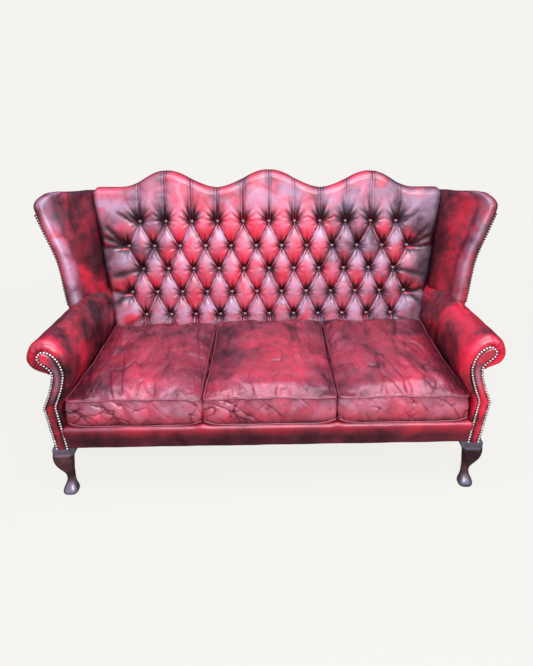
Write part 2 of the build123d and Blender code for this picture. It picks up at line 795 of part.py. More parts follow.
def wing_pad(roll):
    """Padding on the inside of the wing, over its top and round its front edge."""
    inside = wing_layer(wing_foot, wing_top, 0, wing_pad_share, 1, 3)
    cap = wing_layer(wing_top - crest_roll, wing_top, 0, wing_panel_share, 1, 3)
    pad = (wing_front(wing_foot, wing_top) + inside + cap) & wing_outline()
    return lean * pad - roll


def wing_post(roll):
    """Upright that stiffens the front of the wing and stands on the arm."""
    low = wing_top - crest_roll - wing_corner
    board = wing_layer(wing_foot, low, wing_pad_share, wing_panel_share, 2, 3)
    reach = wing_reach * wing_post_share
    keep = Pos(back_half_width, -reach, (wing_foot + wing_top) / 2) * Box(
        back_half_width, 2 * timber, wing_top - wing_foot)
    return lean * (board & keep) - roll


def wing_top_rail():
    """Rail from the back post to the wing's upright."""
    top = wing_top - crest_roll
    board = wing_layer(top - wing_corner + fit, top, wing_pad_share, wing_panel_share, 2, 3)
    reach = wing_reach * wing_post_share + timber
    keep = Pos(back_half_width, -reach / 2, (wing_foot + wing_top) / 2) * Box(
        back_half_width, reach, wing_top - wing_foot)
    return lean * (board & keep)


def outside_wing_panel(roll):
    """Flat leather on the outside of the wing and of the back post."""
    panel = wing_layer(wing_foot, wing_top, wing_panel_share, 1, 0, 3) & wing_outline()
    return lean * panel - roll - outside_arm_panel()


# Nails: domed heads on short shanks, set edge to edge along a line
nail_head = 10.5
nail_pitch = 11.5
nail_dome = 3.5
nail_shank = 3
nail_stem = 2.6
nail_inset = 5


def nail():
    """One nail, with its head towards -Y and its shank in the leather."""
    return domed_head(nail_head / 2, nail_dome, nail_stem / 2, nail_shank)


def arm_nails():
    """One row round the scroll and down both edges of the lower panel."""
    core, outer = facing_points(0)
    rows = [Line(outer[-1], core[0])] + arcs(core)
    rows += [Line(a, b) for a, b in zip(core[-1:] + outer, outer[:-1])]
    edge = Wire(rows)
    count = int(edge.length / nail_pitch)
    one = nail()
    nails = []
    for i in range(count):
        share = (i + 0.5) / count
        place = edge.position_at(share) + inward(edge.tangent_at(share)) * nail_inset
        if not nails or (place - nails[-1]).length > nail_head:
            nails.append(place)
    return [Pos(*place) * one for place in nails]


def wing_nails(roll):
    """One row down the outside of the wing's front edge, from its corner to the arm."""
    one = nail()
    nails = []
    low = wing_foot + (wing_top - wing_foot) * wing_edge_shares[1][0] / 2
    high = wing_top - wing_corner - overrun
    count = int((high - low) / nail_pitch)
    for i in range(count + 1):
        s = high - i * nail_pitch
        _, outer, normal = wing_paths(s)
        _, below, _ = wing_paths(s - nail_head)
        place = (outer[3] + outer[4]) / 2
        ahead = Vector(normal.Y, -normal.X, 0)
        rise = place - (below[3] + below[4]) / 2
        surface = Plane(origin=place, x_dir=ahead, z_dir=rise.cross(ahead))
        piece = lean * surface.location * Rot(X=-90) * one
        centre = piece.bounding_box().center()
        if not roll.is_inside(centre + Vector(0, 0, -nail_head)):
            nails.append(piece)
    return nails


# Seat cushions: crowned, boxed and piped, with sides that draw in between the corners
cushion_width_front = 0.3608 * 2 * arm_inner
cushion_width_rear = 0.3371 * 2 * arm_inner
cushion_gap = 1
cushion_low = deck_height + fit
seam_low = 5
seam_high = 116
crown_height = 146
boxing_bulge = 7
side_draw = 7
cushion_corner = 26
piping = 3
# Each row: height between the two seams, and how much of the bulge the cover is drawn in there
boxing_shares = [(0.18, 0.33), (0.5, 0.0), (0.82, 0.33)]
# Each row: height between the upper seam and the crown, and how many corner radii inwards
crown_shares = [(0.45, 2), (0.85, 5), (1.0, 8)]
foot_draw_share = 0.9


def cushion_edge(y):
    """Boundary between the middle and the outer cushions at one depth."""
    return (cushion_width_front + (cushion_width_rear - cushion_width_front) * y / seat_depth) / 2


def opposite_edge(y):
    """Boundary on the other side of the middle cushion."""
    return -cushion_edge(y)


def cushion_rear(z):
    """Rear of the cushions at one height, in front of the leaning tufts."""
    return seat_depth + (z - seam_height) * tan(radians(back_lean)) - cushion_gap - fit


def outer_edge(y):
    """Inner face of the arm beside the cushions, which the outer cushion stays clear of."""
    front = arm_points(front_skin_shares, 0)[0].X
    rear = arm_points(rear_skin_shares, arm_length)[0].X
    return front + (rear - front) * y / arm_length - fit


def cushion_outline(left, right, z, inset):
    """Rounded four-sided outline, drawn in a little along each side."""
    front = rail_cover_front - fit + inset
    rear = cushion_rear(z) - inset
    gap = cushion_gap / 2 + inset
    corners = [Vector(left(front) + gap, front, z), Vector(right(front) - gap, front, z),
               Vector(right(rear) - gap, rear, z), Vector(left(rear) + gap, rear, z)]
    middle = sum(corners, Vector()) / 4
    sides = []
    for a, b in zip(corners, corners[1:] + corners[:1]):
        half = (a + b) / 2
        sides.append(ThreePointArc(a, half + (middle - half).normalized() * side_draw, b))
    face = Face(Wire(sides))
    return face.fillet_2d(cushion_corner, face.vertices()).outer_wire()


def cushion(left, right):
    """Boxed and crowned cushion between two boundary lines."""
    levels = [(0, foot_draw_share * cushion_corner), (seam_low, boxing_bulge)]
    levels += [(seam_low + (seam_high - seam_low) * up, boxing_bulge * draw) for up, draw in boxing_shares]
    levels += [(seam_high, boxing_bulge)]
    levels += [(seam_high + (crown_height - seam_high) * up, draw * cushion_corner) for up, draw in crown_shares]
    wires = [cushion_outline(left, right, cushion_low + level, inset) for level, inset in levels]
    return Solid.make_loft(wires, ruled=True)


def cushion_piping(left, right):
    """Welts round the lower and the upper seam."""
    rings = []
    for level in (seam_low, seam_high):
        path = cushion_outline(left, right, cushion_low + level, boxing_bulge - piping / 2)
        start = path.position_at(0)
        section = Plane(origin=start, z_dir=path.tangent_at(0)) * Circle(piping)
        rings.append(sweep(section, path=path))
    return rings


def write_parts():
    """Build every piece, centre the sofa on its base and write one file for each."""
    arm = both(arm_pad)
    roll = arm_roll_space()
    springs = seat_springs()
    pieces = {}
    pieces["front_seat_rail"] = front_seat_rail()
    pieces["back_seat_rail"] = back_seat_rail()
    pieces["seat_stretchers"] = [seat_stretcher(side * cushion_width_rear / 2) for side in (-1, 1)]
    pieces["corner_blocks"] = corner_blocks()
    pieces["back_top_rail"] = back_top_rail()
    pieces["back_lower_rail"] = back_lower_rail()
    pieces["back_muntins"] = back_muntins()
    pieces["front_rail_cover"] = front_rail_cover()
    pieces["seat_springs"] = springs
    pieces["spring_clips"] = spring_clips(springs)
    pieces["spring_cloth"] = spring_cloth()
    pieces["seat_platform"] = seat_platform()
    pieces["dust_cover"] = dust_cover()
    pieces["back_webbing"] = back_webbing()
    pieces["back_hessian"] = back_hessian()
    pieces["outside_back_panel"] = outside_back_panel()
    bolts = [leg_bolt(front_leg_x, front_leg_y), leg_bolt(rear_leg_x, rear_leg_y)]
    pieces["leg_bolts"] = bolts + [mirror(bolt, about=Plane.YZ) for bolt in bolts]
    sides = {
        "front_leg": front_leg, "rear_leg": rear_leg, "arm_post": arm_post, "arm_top_rail": arm_top_rail,
        "arm_tack_rail": arm_tack_rail, "side_seat_rail": side_seat_rail, "back_post": back_post,
        "arm_facing": arm_facing, "outside_arm_panel": outside_arm_panel,
        "wing_pad": lambda: wing_pad(roll), "wing_post": lambda: wing_post(roll), "wing_top_rail": wing_top_rail,
        "outside_wing_panel": lambda: outside_wing_panel(roll),
    }
    for name, make in sides.items():
        for side, piece in both(make).items():
            pieces[f"{name}_{side}"] = piece
    for side, piece in arm.items():
        pieces[f"arm_pad_{side}"] = piece
    for name, nails in (("arm_nails", arm_nails()), ("wing_nails", wing_nails(roll))):
        pieces[f"{name}_right"] = nails
        pieces[f"{name}_left"] = [mirror(one, about=Plane.YZ) for one in nails]
    pieces["inside_back"] = lean * tufted_back() - arm["left"] - arm["right"]
    pieces["back_buttons"] = [lean * one for one in back_buttons()]
    pieces["seat_cushion_centre"] = cushion(opposite_edge, cushion_edge)
    pieces["cushion_piping_centre"] = cushion_piping(opposite_edge, cushion_edge)
    for side, piece in both(lambda: cushion(cushion_edge, outer_edge)).items():
        pieces[f"seat_cushion_{side}"] = piece
    pieces["cushion_piping_right"] = cushion_piping(cushion_edge, outer_edge)
    pieces["cushion_piping_left"] = [mirror(ring, about=Plane.YZ) for ring in pieces["cushion_piping_right"]]
    box = Compound(children=[shape for piece in pieces.values()
                             for shape in (piece if isinstance(piece, list) else [piece])]).bounding_box()
    move = Pos(0, -box.center().Y, -box.min.Z)
    os.makedirs("parts", exist_ok=True)
    for name, piece in pieces.items():
        solids = [solid for shape in (piece if isinstance(piece, list) else [piece]) for solid in shape.solids()]
        export_step(move * Compound(solids), f"parts/{name}.step")


write_parts()
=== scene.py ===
from math import atan2, cos, exp, hypot, pi, radians, sin, sqrt

import bpy
import numpy as np
from mathutils import Matrix, Vector, noise


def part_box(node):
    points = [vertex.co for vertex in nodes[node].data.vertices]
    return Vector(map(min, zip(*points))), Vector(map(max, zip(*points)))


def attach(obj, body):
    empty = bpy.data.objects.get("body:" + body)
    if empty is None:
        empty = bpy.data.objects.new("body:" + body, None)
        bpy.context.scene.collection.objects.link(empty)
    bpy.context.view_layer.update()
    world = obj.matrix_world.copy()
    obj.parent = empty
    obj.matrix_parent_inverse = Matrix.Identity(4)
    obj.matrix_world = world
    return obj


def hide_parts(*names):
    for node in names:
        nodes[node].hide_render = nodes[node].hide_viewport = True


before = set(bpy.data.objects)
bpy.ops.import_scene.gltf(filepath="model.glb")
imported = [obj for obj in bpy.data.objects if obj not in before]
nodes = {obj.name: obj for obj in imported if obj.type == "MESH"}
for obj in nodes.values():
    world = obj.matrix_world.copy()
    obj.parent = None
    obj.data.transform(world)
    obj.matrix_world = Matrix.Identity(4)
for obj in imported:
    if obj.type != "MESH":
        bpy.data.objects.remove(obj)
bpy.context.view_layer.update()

# The room: a plain pale floor and two large soft lamps, one high in front and one overhead,
# whose reflections give polished leather its sheen. The camera stands a little above eye
# level in front of the sofa, with its picture shifted as the photograph's is.
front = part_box("arm_facing_right")[0].y
camera_place = (-0.0058, front - 1.7572, 1.6892)
camera_yaw, camera_pitch, camera_roll = radians(2.111), radians(21.1), radians(0.441)
camera_lens = 30.27
camera_shift = (-0.0308, -0.1211)
forward = Vector((sin(camera_yaw) * cos(camera_pitch), cos(camera_yaw) * cos(camera_pitch), -sin(camera_pitch)))
level_side = Vector((cos(camera_yaw), -sin(camera_yaw), 0))
level_up = level_side.cross(forward)
camera_side = cos(camera_roll) * level_side + sin(camera_roll) * level_up
camera_up = cos(camera_roll) * level_up - sin(camera_roll) * level_side
camera_data = bpy.data.cameras.new("camera")
camera_data.sensor_width = 36
camera_data.lens = camera_lens
camera_data.shift_x, camera_data.shift_y = camera_shift
camera = bpy.data.objects.new("camera", camera_data)
bpy.context.scene.collection.objects.link(camera)
camera.matrix_world = Matrix.Translation(camera_place) @ Matrix(
    (camera_side, camera_up, -forward)).transposed().to_4x4()
bpy.context.scene.camera = camera
bpy.context.scene.view_settings.view_transform = "Standard"


def linear(code):
    """Linear colour of an sRGB hex value."""
    parts = [int(code[i:i + 2], 16) / 255 for i in (1, 3, 5)]
    return tuple(p / 12.92 if p <= 0.04045 else ((p + 0.055) / 1.055) ** 2.4 for p in parts) + (1.0,)


def add(tree, kind, links=None, stops=None, **settings):
    """Adds a node with its settings. Links are its inputs, each a value or another node's output."""
    node = tree.nodes.new(kind)
    for key, value in settings.items():
        setattr(node, key, value)
    for key, value in (links or {}).items():
        if isinstance(value, bpy.types.NodeSocket):
            tree.links.new(value, node.inputs[key])
        else:
            node.inputs[key].default_value = value
    if stops:
        ramp = node.color_ramp
        while len(ramp.elements) < len(stops):
            ramp.elements.new(1)
        for element, (place, colour) in zip(ramp.elements, stops):
            element.position = place
            element.color = linear(colour) if isinstance(colour, str) else (colour,) * 3 + (1,)
    return node


backdrop_colour = "#F4F3EF"
world = bpy.data.worlds.new("studio")
bpy.context.scene.world = world
world.use_nodes = True
world.node_tree.nodes.clear()
tree = world.node_tree
path = add(tree, "ShaderNodeLightPath")
seen = add(tree, "ShaderNodeMath", {0: path.outputs["Is Camera Ray"], 1: path.outputs["Is Glossy Ray"]},
           operation="MAXIMUM")
seen = add(tree, "ShaderNodeMath", {0: seen.outputs[0], 1: path.outputs["Is Transmission Ray"]},
           operation="MAXIMUM")
fill = add(tree, "ShaderNodeBackground", {"Color": linear("#DCE2EE"), "Strength": 0.42})
shown = add(tree, "ShaderNodeBackground", {"Color": linear(backdrop_colour), "Strength": 1.0})
both = add(tree, "ShaderNodeMixShader", {0: seen.outputs[0], 1: fill.outputs[0], 2: shown.outputs[0]})
# What the polish mirrors: a bright overcast sky overhead and in front, which gives the hide
# its lilac sheen, and a dark wall behind the sofa
toward = add(tree, "ShaderNodeNewGeometry")
split = add(tree, "ShaderNodeSeparateXYZ", {0: toward.outputs["Position"]})
height = add(tree, "ShaderNodeMath", {0: split.outputs[1], 1: -0.55, 2: split.outputs[2]}, operation="MULTIPLY_ADD")
strength = add(tree, "ShaderNodeMapRange", {0: height.outputs[0], 1: -0.1, 2: 1.0, 3: 0.08, 4: 1.9},
               interpolation_type="SMOOTHSTEP")
sky = add(tree, "ShaderNodeBackground", {"Color": linear("#D4D2FF"), "Strength": strength.outputs[0]})
mirrored_sky = add(tree, "ShaderNodeMixShader", {0: path.outputs["Is Glossy Ray"], 1: both.outputs[0],
                                                 2: sky.outputs[0]})
add(tree, "ShaderNodeOutputWorld", {"Surface": mirrored_sky.outputs[0]})

# Each lamp: name, place, target, width, depth, watts, colour
lamps = [
    ("key_lamp", (0.5, -3.3, 3.0), (0, 0, 0.6), 3.4, 1.7, 125, "#FFFDF8"),
    ("top_lamp", (0.1, -0.55, 3.1), (0, 0.05, 0.5), 3.2, 1.5, 60, "#E9EEFF"),
    ("side_lamp", (3.0, -1.2, 2.2), (0.6, 0, 0.6), 1.2, 1.2, 10, "#FFF8F2"),
]
for name, place, target, width, depth, watts, colour in lamps:
    lamp = bpy.data.lights.new(name, "AREA")
    lamp.shape = "RECTANGLE"
    lamp.size, lamp.size_y = width, depth
    lamp.energy = watts
    lamp.color = linear(colour)[:3]
    lamp_object = bpy.data.objects.new(name, lamp)
    bpy.context.scene.collection.objects.link(lamp_object)
    lamp_object.location = place
    lamp_object.rotation_euler = (Vector(target) - Vector(place)).to_track_quat("-Z", "Y").to_euler()


def new_material(name):
    """An empty material, its tree and its Principled shader."""
    material = bpy.data.materials.new(name)
    material.use_nodes = True
    tree = material.node_tree
    tree.nodes.clear()
    shader = add(tree, "ShaderNodeBsdfPrincipled")
    add(tree, "ShaderNodeOutputMaterial", {"Surface": shader.outputs[0]})
    return material, tree, shader


def mesh_object(name, points, faces, material=None, smooth=True):
    """A new mesh object at the origin."""
    mesh = bpy.data.meshes.new(name)
    mesh.from_pydata([tuple(p) for p in points], [], faces)
    mesh.polygons.foreach_set("use_smooth", [smooth] * len(mesh.polygons))
    if material:
        mesh.materials.append(material)
    made = bpy.data.objects.new(name, mesh)
    bpy.context.scene.collection.objects.link(made)
    return made


floor_paint, tree, shader = new_material("matt_floor_paint")
place = add(tree, "ShaderNodeTexCoord").outputs["Object"]
shader.inputs["Base Color"].default_value = linear(backdrop_colour)
shader.inputs["Roughness"].default_value = 0.9
shader.inputs["Specular IOR Level"].default_value = 0.1
glow = add(tree, "ShaderNodeEmission", {"Color": linear(backdrop_colour), "Strength": 1.0})
distance = add(tree, "ShaderNodeVectorMath", {0: place}, operation="LENGTH")
fade = add(tree, "ShaderNodeMapRange", {0: distance.outputs["Value"], 1: 1.2, 2: 3.2, 3: 0.92, 4: 1.0})
path = add(tree, "ShaderNodeLightPath")
share = add(tree, "ShaderNodeMath", {0: fade.outputs[0], 1: path.outputs["Is Camera Ray"]}, operation="MULTIPLY")
mixed = add(tree, "ShaderNodeMixShader", {0: share.outputs[0], 1: shader.outputs[0], 2: glow.outputs[0]})
# The polish mirrors a darker floor than the camera sees
dim = add(tree, "ShaderNodeBsdfDiffuse", {"Color": linear("#5C4A4C")})
mixed = add(tree, "ShaderNodeMixShader", {0: path.outputs["Is Glossy Ray"], 1: mixed.outputs[0], 2: dim.outputs[0]})
tree.links.new(mixed.outputs[0], tree.nodes["Material Output"].inputs["Surface"])
size = 30
floor = mesh_object("floor", [(-size, -size, 0), (size, -size, 0), (size, size, 0), (-size, size, 0)],
                    [(0, 1, 2, 3)], floor_paint)


# The frame: kiln-dried beech, sawn, planed and left bare, since leather covers all of it.
# Rails, posts, blocks and stretchers are dowelled and glued, with the grain along each board.
beech, tree, shader = new_material("planed_beech")
place = add(tree, "ShaderNodeTexCoord").outputs["Object"]
along = add(tree, "ShaderNodeMapping", {"Vector": place, "Scale": (1.0, 9.0, 9.0)})
# Growth rings about 6 mm apart
rings = add(tree, "ShaderNodeTexNoise", {"Vector": along.outputs[0], "Scale": 18.0, "Detail": 5.0, "Roughness": 0.6})
flecks = add(tree, "ShaderNodeTexNoise", {"Vector": along.outputs[0], "Scale": 160.0, "Detail": 2.0})
tone = add(tree, "ShaderNodeMath", {0: flecks.outputs[0], 1: 0.3, 2: rings.outputs[0]}, operation="MULTIPLY_ADD")
colours = add(tree, "ShaderNodeValToRGB", {0: tone.outputs[0]},
              stops=[(0.45, "#B98A5E"), (0.62, "#D2A87A"), (0.8, "#E0BC90")])
tree.links.new(colours.outputs[0], shader.inputs["Base Color"])
bump = add(tree, "ShaderNodeBump", {"Strength": 0.15, "Distance": 0.0006, "Height": rings.outputs[0]})
tree.links.new(bump.outputs[0], shader.inputs["Normal"])
shader.inputs["Roughness"].default_value = 0.62
timber_nodes = ["front_seat_rail", "back_seat_rail", "seat_stretchers", "corner_blocks", "back_top_rail",
                "back_lower_rail", "back_muntins"]
timber_nodes += [f"{name}_{side}" for side in ("left", "right") for name in (
    "arm_post", "arm_tack_rail", "arm_top_rail", "side_seat_rail", "back_post", "wing_post", "wing_top_rail")]


def paint(names, material):
    """Gives carried-over pieces their finish."""
    for name in names:
        nodes[name].data.materials.clear()
        nodes[name].data.materials.append(material)


paint(timber_nodes, beech)


# The legs: mahogany, the front pair carved to a cabriole and the rear pair sawn square and
# raked, stained almost black, rubbed back to red on the knees and finished with wax polish.
mahogany, tree, shader = new_material("waxed_mahogany")
place = add(tree, "ShaderNodeTexCoord").outputs["Object"]
along = add(tree, "ShaderNodeMapping", {"Vector": place, "Scale": (14.0, 14.0, 1.6)})
grain = add(tree, "ShaderNodeTexNoise", {"Vector": along.outputs[0], "Scale": 14.0, "Detail": 6.0, "Roughness": 0.6})
cloudy = add(tree, "ShaderNodeTexNoise", {"Vector": place, "Scale": 16.0, "Detail": 3.0})
tone = add(tree, "ShaderNodeMath", {0: grain.outputs[0], 1: 0.45, 2: cloudy.outputs[0]}, operation="MULTIPLY_ADD")
colours = add(tree, "ShaderNodeValToRGB", {0: tone.outputs[0]},
              stops=[(0.5, "#180D12"), (0.68, "#32161C"), (0.84, "#573034"), (1.0, "#7A5258")])
# A painted blue-grey sheen of reflected sky lies on the toes and along the top of the blocks
up = add(tree, "ShaderNodeSeparateXYZ", {0: place}).outputs[2]
painted_grey_sheen = add(tree, "ShaderNodeValToRGB", {0: add(tree, "ShaderNodeMath", {0: up, 1: 4.5}, operation="MULTIPLY").outputs[0]},
             stops=[(0.0, 0.5), (0.16, 0.15), (0.35, 0.0), (0.80, 0.0), (0.93, 0.5)])
painted_grey_sheen = add(tree, "ShaderNodeMath", {0: painted_grey_sheen.outputs[0], 1: cloudy.outputs[0]}, operation="MULTIPLY")
colours = add(tree, "ShaderNodeMix", {"Factor": painted_grey_sheen.outputs[0], 6: colours.outputs[0], 7: linear("#9AA2BC")},
              data_type="RGBA")
tree.links.new(colours.outputs[2], shader.inputs["Base Color"])
bump = add(tree, "ShaderNodeBump", {"Strength": 0.25, "Distance": 0.0008, "Height": grain.outputs[0]})
tree.links.new(bump.outputs[0], shader.inputs["Normal"])
shader.inputs["Roughness"].default_value = 0.3
shader.inputs["Coat Weight"].default_value = 1.0
shader.inputs["Coat IOR"].default_value = 1.8
shader.inputs["Coat Roughness"].default_value = 0.2
paint([f"{which}_leg_{side}" for which in ("front", "rear") for side in ("left", "right")], mahogany)


# The suspension: zigzag springs of oil-tempered steel wire in folded clips, hessian over them,
# a stuffed platform, jute webbing in the back, and black cloth tacked under the seat.
spring_steel, tree, shader = new_material("oiled_spring_steel")
place = add(tree, "ShaderNodeTexCoord").outputs["Object"]
scale_marks = add(tree, "ShaderNodeTexNoise", {"Vector": place, "Scale": 240.0, "Detail": 3.0})
colours = add(tree, "ShaderNodeValToRGB", {0: scale_marks.outputs[0]}, stops=[(0.35, "#4C4A48"), (0.7, "#8A8783")])
tree.links.new(colours.outputs[0], shader.inputs["Base Color"])
shader.inputs["Metallic"].default_value = 1.0
shader.inputs["Roughness"].default_value = 0.4
paint(["seat_springs", "spring_clips", "leg_bolts"], spring_steel)
# Each cloth: material, nodes, thread spacing in metres, dark and light thread colours
cloths = [
    ("woven_hessian", ["back_hessian", "spring_cloth"], 0.002, "#7E6238", "#B99C69"),
    ("jute_webbing", ["back_webbing"], 0.0015, "#8C7048", "#C8AE7C"),
    ("calico_platform", ["seat_platform"], 0.001, "#4A1A1E", "#6A2A2C"),
    ("black_dust_cloth", ["dust_cover"], 0.001, "#0B0B0C", "#1E1E20"),
]
for name, pieces, spacing, dark, light in cloths:
    cloth, tree, shader = new_material(name)
    place = add(tree, "ShaderNodeTexCoord").outputs["Object"]
    threads = [add(tree, "ShaderNodeTexWave", {"Vector": place, "Scale": 0.314 / spacing, "Distortion": 0.6},
                   bands_direction=axis) for axis in ("X", "Y", "Z")]
    woven = add(tree, "ShaderNodeMath", {0: threads[0].outputs[1], 1: threads[2].outputs[1]}, operation="MULTIPLY")
    woven = add(tree, "ShaderNodeMath", {0: woven.outputs[0], 1: threads[1].outputs[1]}, operation="MAXIMUM")
    colours = add(tree, "ShaderNodeValToRGB", {0: woven.outputs[0]}, stops=[(0.2, dark), (0.8, light)])
    tree.links.new(colours.outputs[0], shader.inputs["Base Color"])
    bump = add(tree, "ShaderNodeBump", {"Strength": 0.4, "Distance": spacing / 3, "Height": woven.outputs[0]})
    tree.links.new(bump.outputs[0], shader.inputs["Normal"])
    shader.inputs["Roughness"].default_value = 0.9
    paint(pieces, cloth)


# The leather: cow hide dyed oxblood and washed over with near-black burgundy, which is
# rubbed off the high places by hand, so that crowns are crimson and hollows stay dark. It
# is polished, which shows as a soft sheen. The attribute "rub" says where it is rubbed.
# Across a fold: share of the distance between folds, and how high the hide lies there
fold_section = [(0.0, 0.0), (0.022, 0.05), (0.036, 0.95), (0.062, 0.9), (0.076, 0.05), (0.098, 0.1), (0.13, 0.5),
                (0.97, 0.5), (0.988, 0.05)]


def rub_off_leather(name, stops, rub_share, mottle_share, roughness, coat, painted_sheen_share, shift=(0, 0, 0),
                    folds=False, line_share=0.0):
    """Antique leather: mottled from the wash to the dye, with grain, scuffs, fine wrinkles and a painted lilac sheen.
    """
    material, tree, shader = new_material(name)
    place = add(tree, "ShaderNodeTexCoord").outputs["Object"]
    place = add(tree, "ShaderNodeMapping", {"Vector": place, "Location": shift}).outputs[0]
    rub = add(tree, "ShaderNodeAttribute", attribute_name="rub").outputs["Fac"]
    # Patches of wash about 120 mm across, smaller clouds of 35 mm, and scuffs of 5 mm
    sizes = [(5.5, 3.0, mottle_share), (22.0, 4.0, mottle_share * 0.4), (190.0, 3.0, mottle_share * 0.2)]
    tone = add(tree, "ShaderNodeMath", {0: rub, 1: rub_share, 2: 0.5 - rub_share / 2}, operation="MULTIPLY_ADD")
    for scale, detail, share in sizes:
        patch = add(tree, "ShaderNodeTexNoise", {"Vector": place, "Scale": scale, "Detail": detail,
                                                 "Roughness": 0.6, "Distortion": 0.5})
        centred = add(tree, "ShaderNodeMath", {0: patch.outputs[0], 1: 0.5}, operation="SUBTRACT")
        tone = add(tree, "ShaderNodeMath", {0: centred.outputs[0], 1: share * 2, 2: tone.outputs[0]},
                   operation="MULTIPLY_ADD")
    # Grain is really about 1 mm; it is drawn at 3 mm so that it shows
    grain = add(tree, "ShaderNodeTexVoronoi", {"Vector": place, "Scale": 330.0}, feature="SMOOTH_F1")
    stretched = add(tree, "ShaderNodeMapping", {"Vector": place, "Scale": (1.0, 1.0, 2.6) if folds else (1, 1, 1)})
    wrinkled = add(tree, "ShaderNodeTexNoise", {"Vector": stretched.outputs[0], "Scale": 48.0, "Detail": 4.0,
                                                "Distortion": 1.4})
    height = add(tree, "ShaderNodeMath", {0: grain.outputs[0], 1: 0.25, 2: wrinkled.outputs[0]},
                 operation="MULTIPLY_ADD")
    if line_share:
        # Winding wrinkles in patches, where the wash stays
        slack = add(tree, "ShaderNodeTexNoise", {"Vector": place, "Scale": 6.0, "Detail": 2.0})
        slack = add(tree, "ShaderNodeMapRange", {0: slack.outputs[0], 1: 0.42, 2: 0.60, 3: 0.15, 4: 1.0})
        for scale, thin, ways in ((17.0, 0.030, (1.0, 0.55, 1.3)), (42.0, 0.050, (0.8, 1.2, 1.0))):
            turned = add(tree, "ShaderNodeMapping", {"Vector": place, "Scale": ways, "Rotation": (0.0, 0.0, scale)})
            winding = add(tree, "ShaderNodeTexNoise", {"Vector": turned.outputs[0], "Scale": scale, "Detail": 3.0,
                                                       "Distortion": 1.1})
            off = add(tree, "ShaderNodeMath", {0: winding.outputs[0], 1: 0.5}, operation="SUBTRACT")
            off = add(tree, "ShaderNodeMath", {0: off.outputs[0]}, operation="ABSOLUTE")
            line = add(tree, "ShaderNodeMapRange", {0: off.outputs[0], 1: 0.0, 2: thin, 3: 1.0, 4: 0.0},
                       interpolation_type="SMOOTHSTEP")
            line = add(tree, "ShaderNodeMath", {0: line.outputs[0], 1: slack.outputs[0]}, operation="MULTIPLY")
            tone = add(tree, "ShaderNodeMath", {0: line.outputs[0], 1: -line_share, 2: tone.outputs[0]},
                       operation="MULTIPLY_ADD")
            height = add(tree, "ShaderNodeMath", {0: line.outputs[0], 1: -1.6, 2: height.outputs[0]},
                         operation="MULTIPLY_ADD")
    value = tone.outputs[0]
    if folds:
        # Folds: two dark lines with a rolled lip between them, where one tuft lies over the next
        uv = add(tree, "ShaderNodeUVMap", uv_map="folds")
        split = add(tree, "ShaderNodeSeparateXYZ", {0: uv.outputs[0]})
        firmness = add(tree, "ShaderNodeAttribute", attribute_name="fold").outputs["Fac"]
        value = tone
        for axis, sign in ((0, 1), (1, -1)):
            turned = add(tree, "ShaderNodeMath", {0: split.outputs[axis], 1: sign}, operation="MULTIPLY")
            part = add(tree, "ShaderNodeMath", {0: turned.outputs[0]}, operation="FRACT")
            section = add(tree, "ShaderNodeValToRGB", {0: part.outputs[0]}, stops=fold_section)
            centred = add(tree, "ShaderNodeMath", {0: section.outputs[0], 1: 0.5}, operation="SUBTRACT")
            firm = add(tree, "ShaderNodeMath", {0: centred.outputs[0], 1: firmness}, operation="MULTIPLY")
            value = add(tree, "ShaderNodeMath", {0: firm.outputs[0], 1: 1.15, 2: value.outputs[0]},
                        operation="MULTIPLY_ADD")
            height = add(tree, "ShaderNodeMath", {0: firm.outputs[0], 1: 3.2, 2: height.outputs[0]},
                         operation="MULTIPLY_ADD")
        value = value.outputs[0]
    colours = add(tree, "ShaderNodeValToRGB", {0: value}, stops=stops)
    # A painted lilac sheen, standing in for the reflected sky, lies on what faces up, in clouds, and where the piece's
    # attribute asks for it
    upward = add(tree, "ShaderNodeSeparateXYZ", {0: add(tree, "ShaderNodeNewGeometry").outputs["Normal"]})
    painted_sheen_amount = add(tree, "ShaderNodeMapRange", {0: upward.outputs[2], 1: 0.0, 2: 0.6, 3: 0 if folds else 0.15 * painted_sheen_share,
                                             4: 0 if folds else painted_sheen_share})
    painted_sheen_amount = add(tree, "ShaderNodeMath", {0: painted_sheen_amount.outputs[0], 1: add(
        tree, "ShaderNodeAttribute", attribute_name="sheen_paint").outputs["Fac"]}, operation="MAXIMUM").outputs[0]
    cloud = add(tree, "ShaderNodeTexNoise", {"Vector": place, "Scale": 11.0, "Detail": 3.0, "Distortion": 0.8})
    cloudy = add(tree, "ShaderNodeMapRange", {0: cloud.outputs[0], 1: 0.35, 2: 0.62, 3: 0.2, 4: 1.0})
    painted_sheen = add(tree, "ShaderNodeMath", {0: painted_sheen_amount, 1: cloudy.outputs[0]}, operation="MULTIPLY")
    sheen_painted = add(tree, "ShaderNodeMix", {"Factor": painted_sheen.outputs[0], 6: colours.outputs[0], 7: linear("#C2A2BE")},
                data_type="RGBA")
    tree.links.new(sheen_painted.outputs[2], shader.inputs["Base Color"])
    dull = add(tree, "ShaderNodeMapRange", {0: value, 1: 0.2, 2: 0.8, 3: roughness + 0.2, 4: roughness - 0.04})
    tree.links.new(dull.outputs[0], shader.inputs["Roughness"])
    bump = add(tree, "ShaderNodeBump", {"Strength": 0.35, "Distance": 0.0016, "Height": height.outputs[0]})
    tree.links.new(bump.outputs[0], shader.inputs["Normal"])
    gloss = add(tree, "ShaderNodeMapRange", {0: value, 1: 0.15, 2: 0.5, 3: 0.2, 4: 0.5})
    tree.links.new(gloss.outputs[0], shader.inputs["Specular IOR Level"])
    polish = add(tree, "ShaderNodeMapRange", {0: value, 1: 0.15, 2: 0.6, 3: 0.15 * coat, 4: coat})
    tree.links.new(polish.outputs[0], shader.inputs["Coat Weight"])
    shader.inputs["Coat IOR"].default_value = 1.75
    shader.inputs["Coat Roughness"].default_value = 0.26
    return material


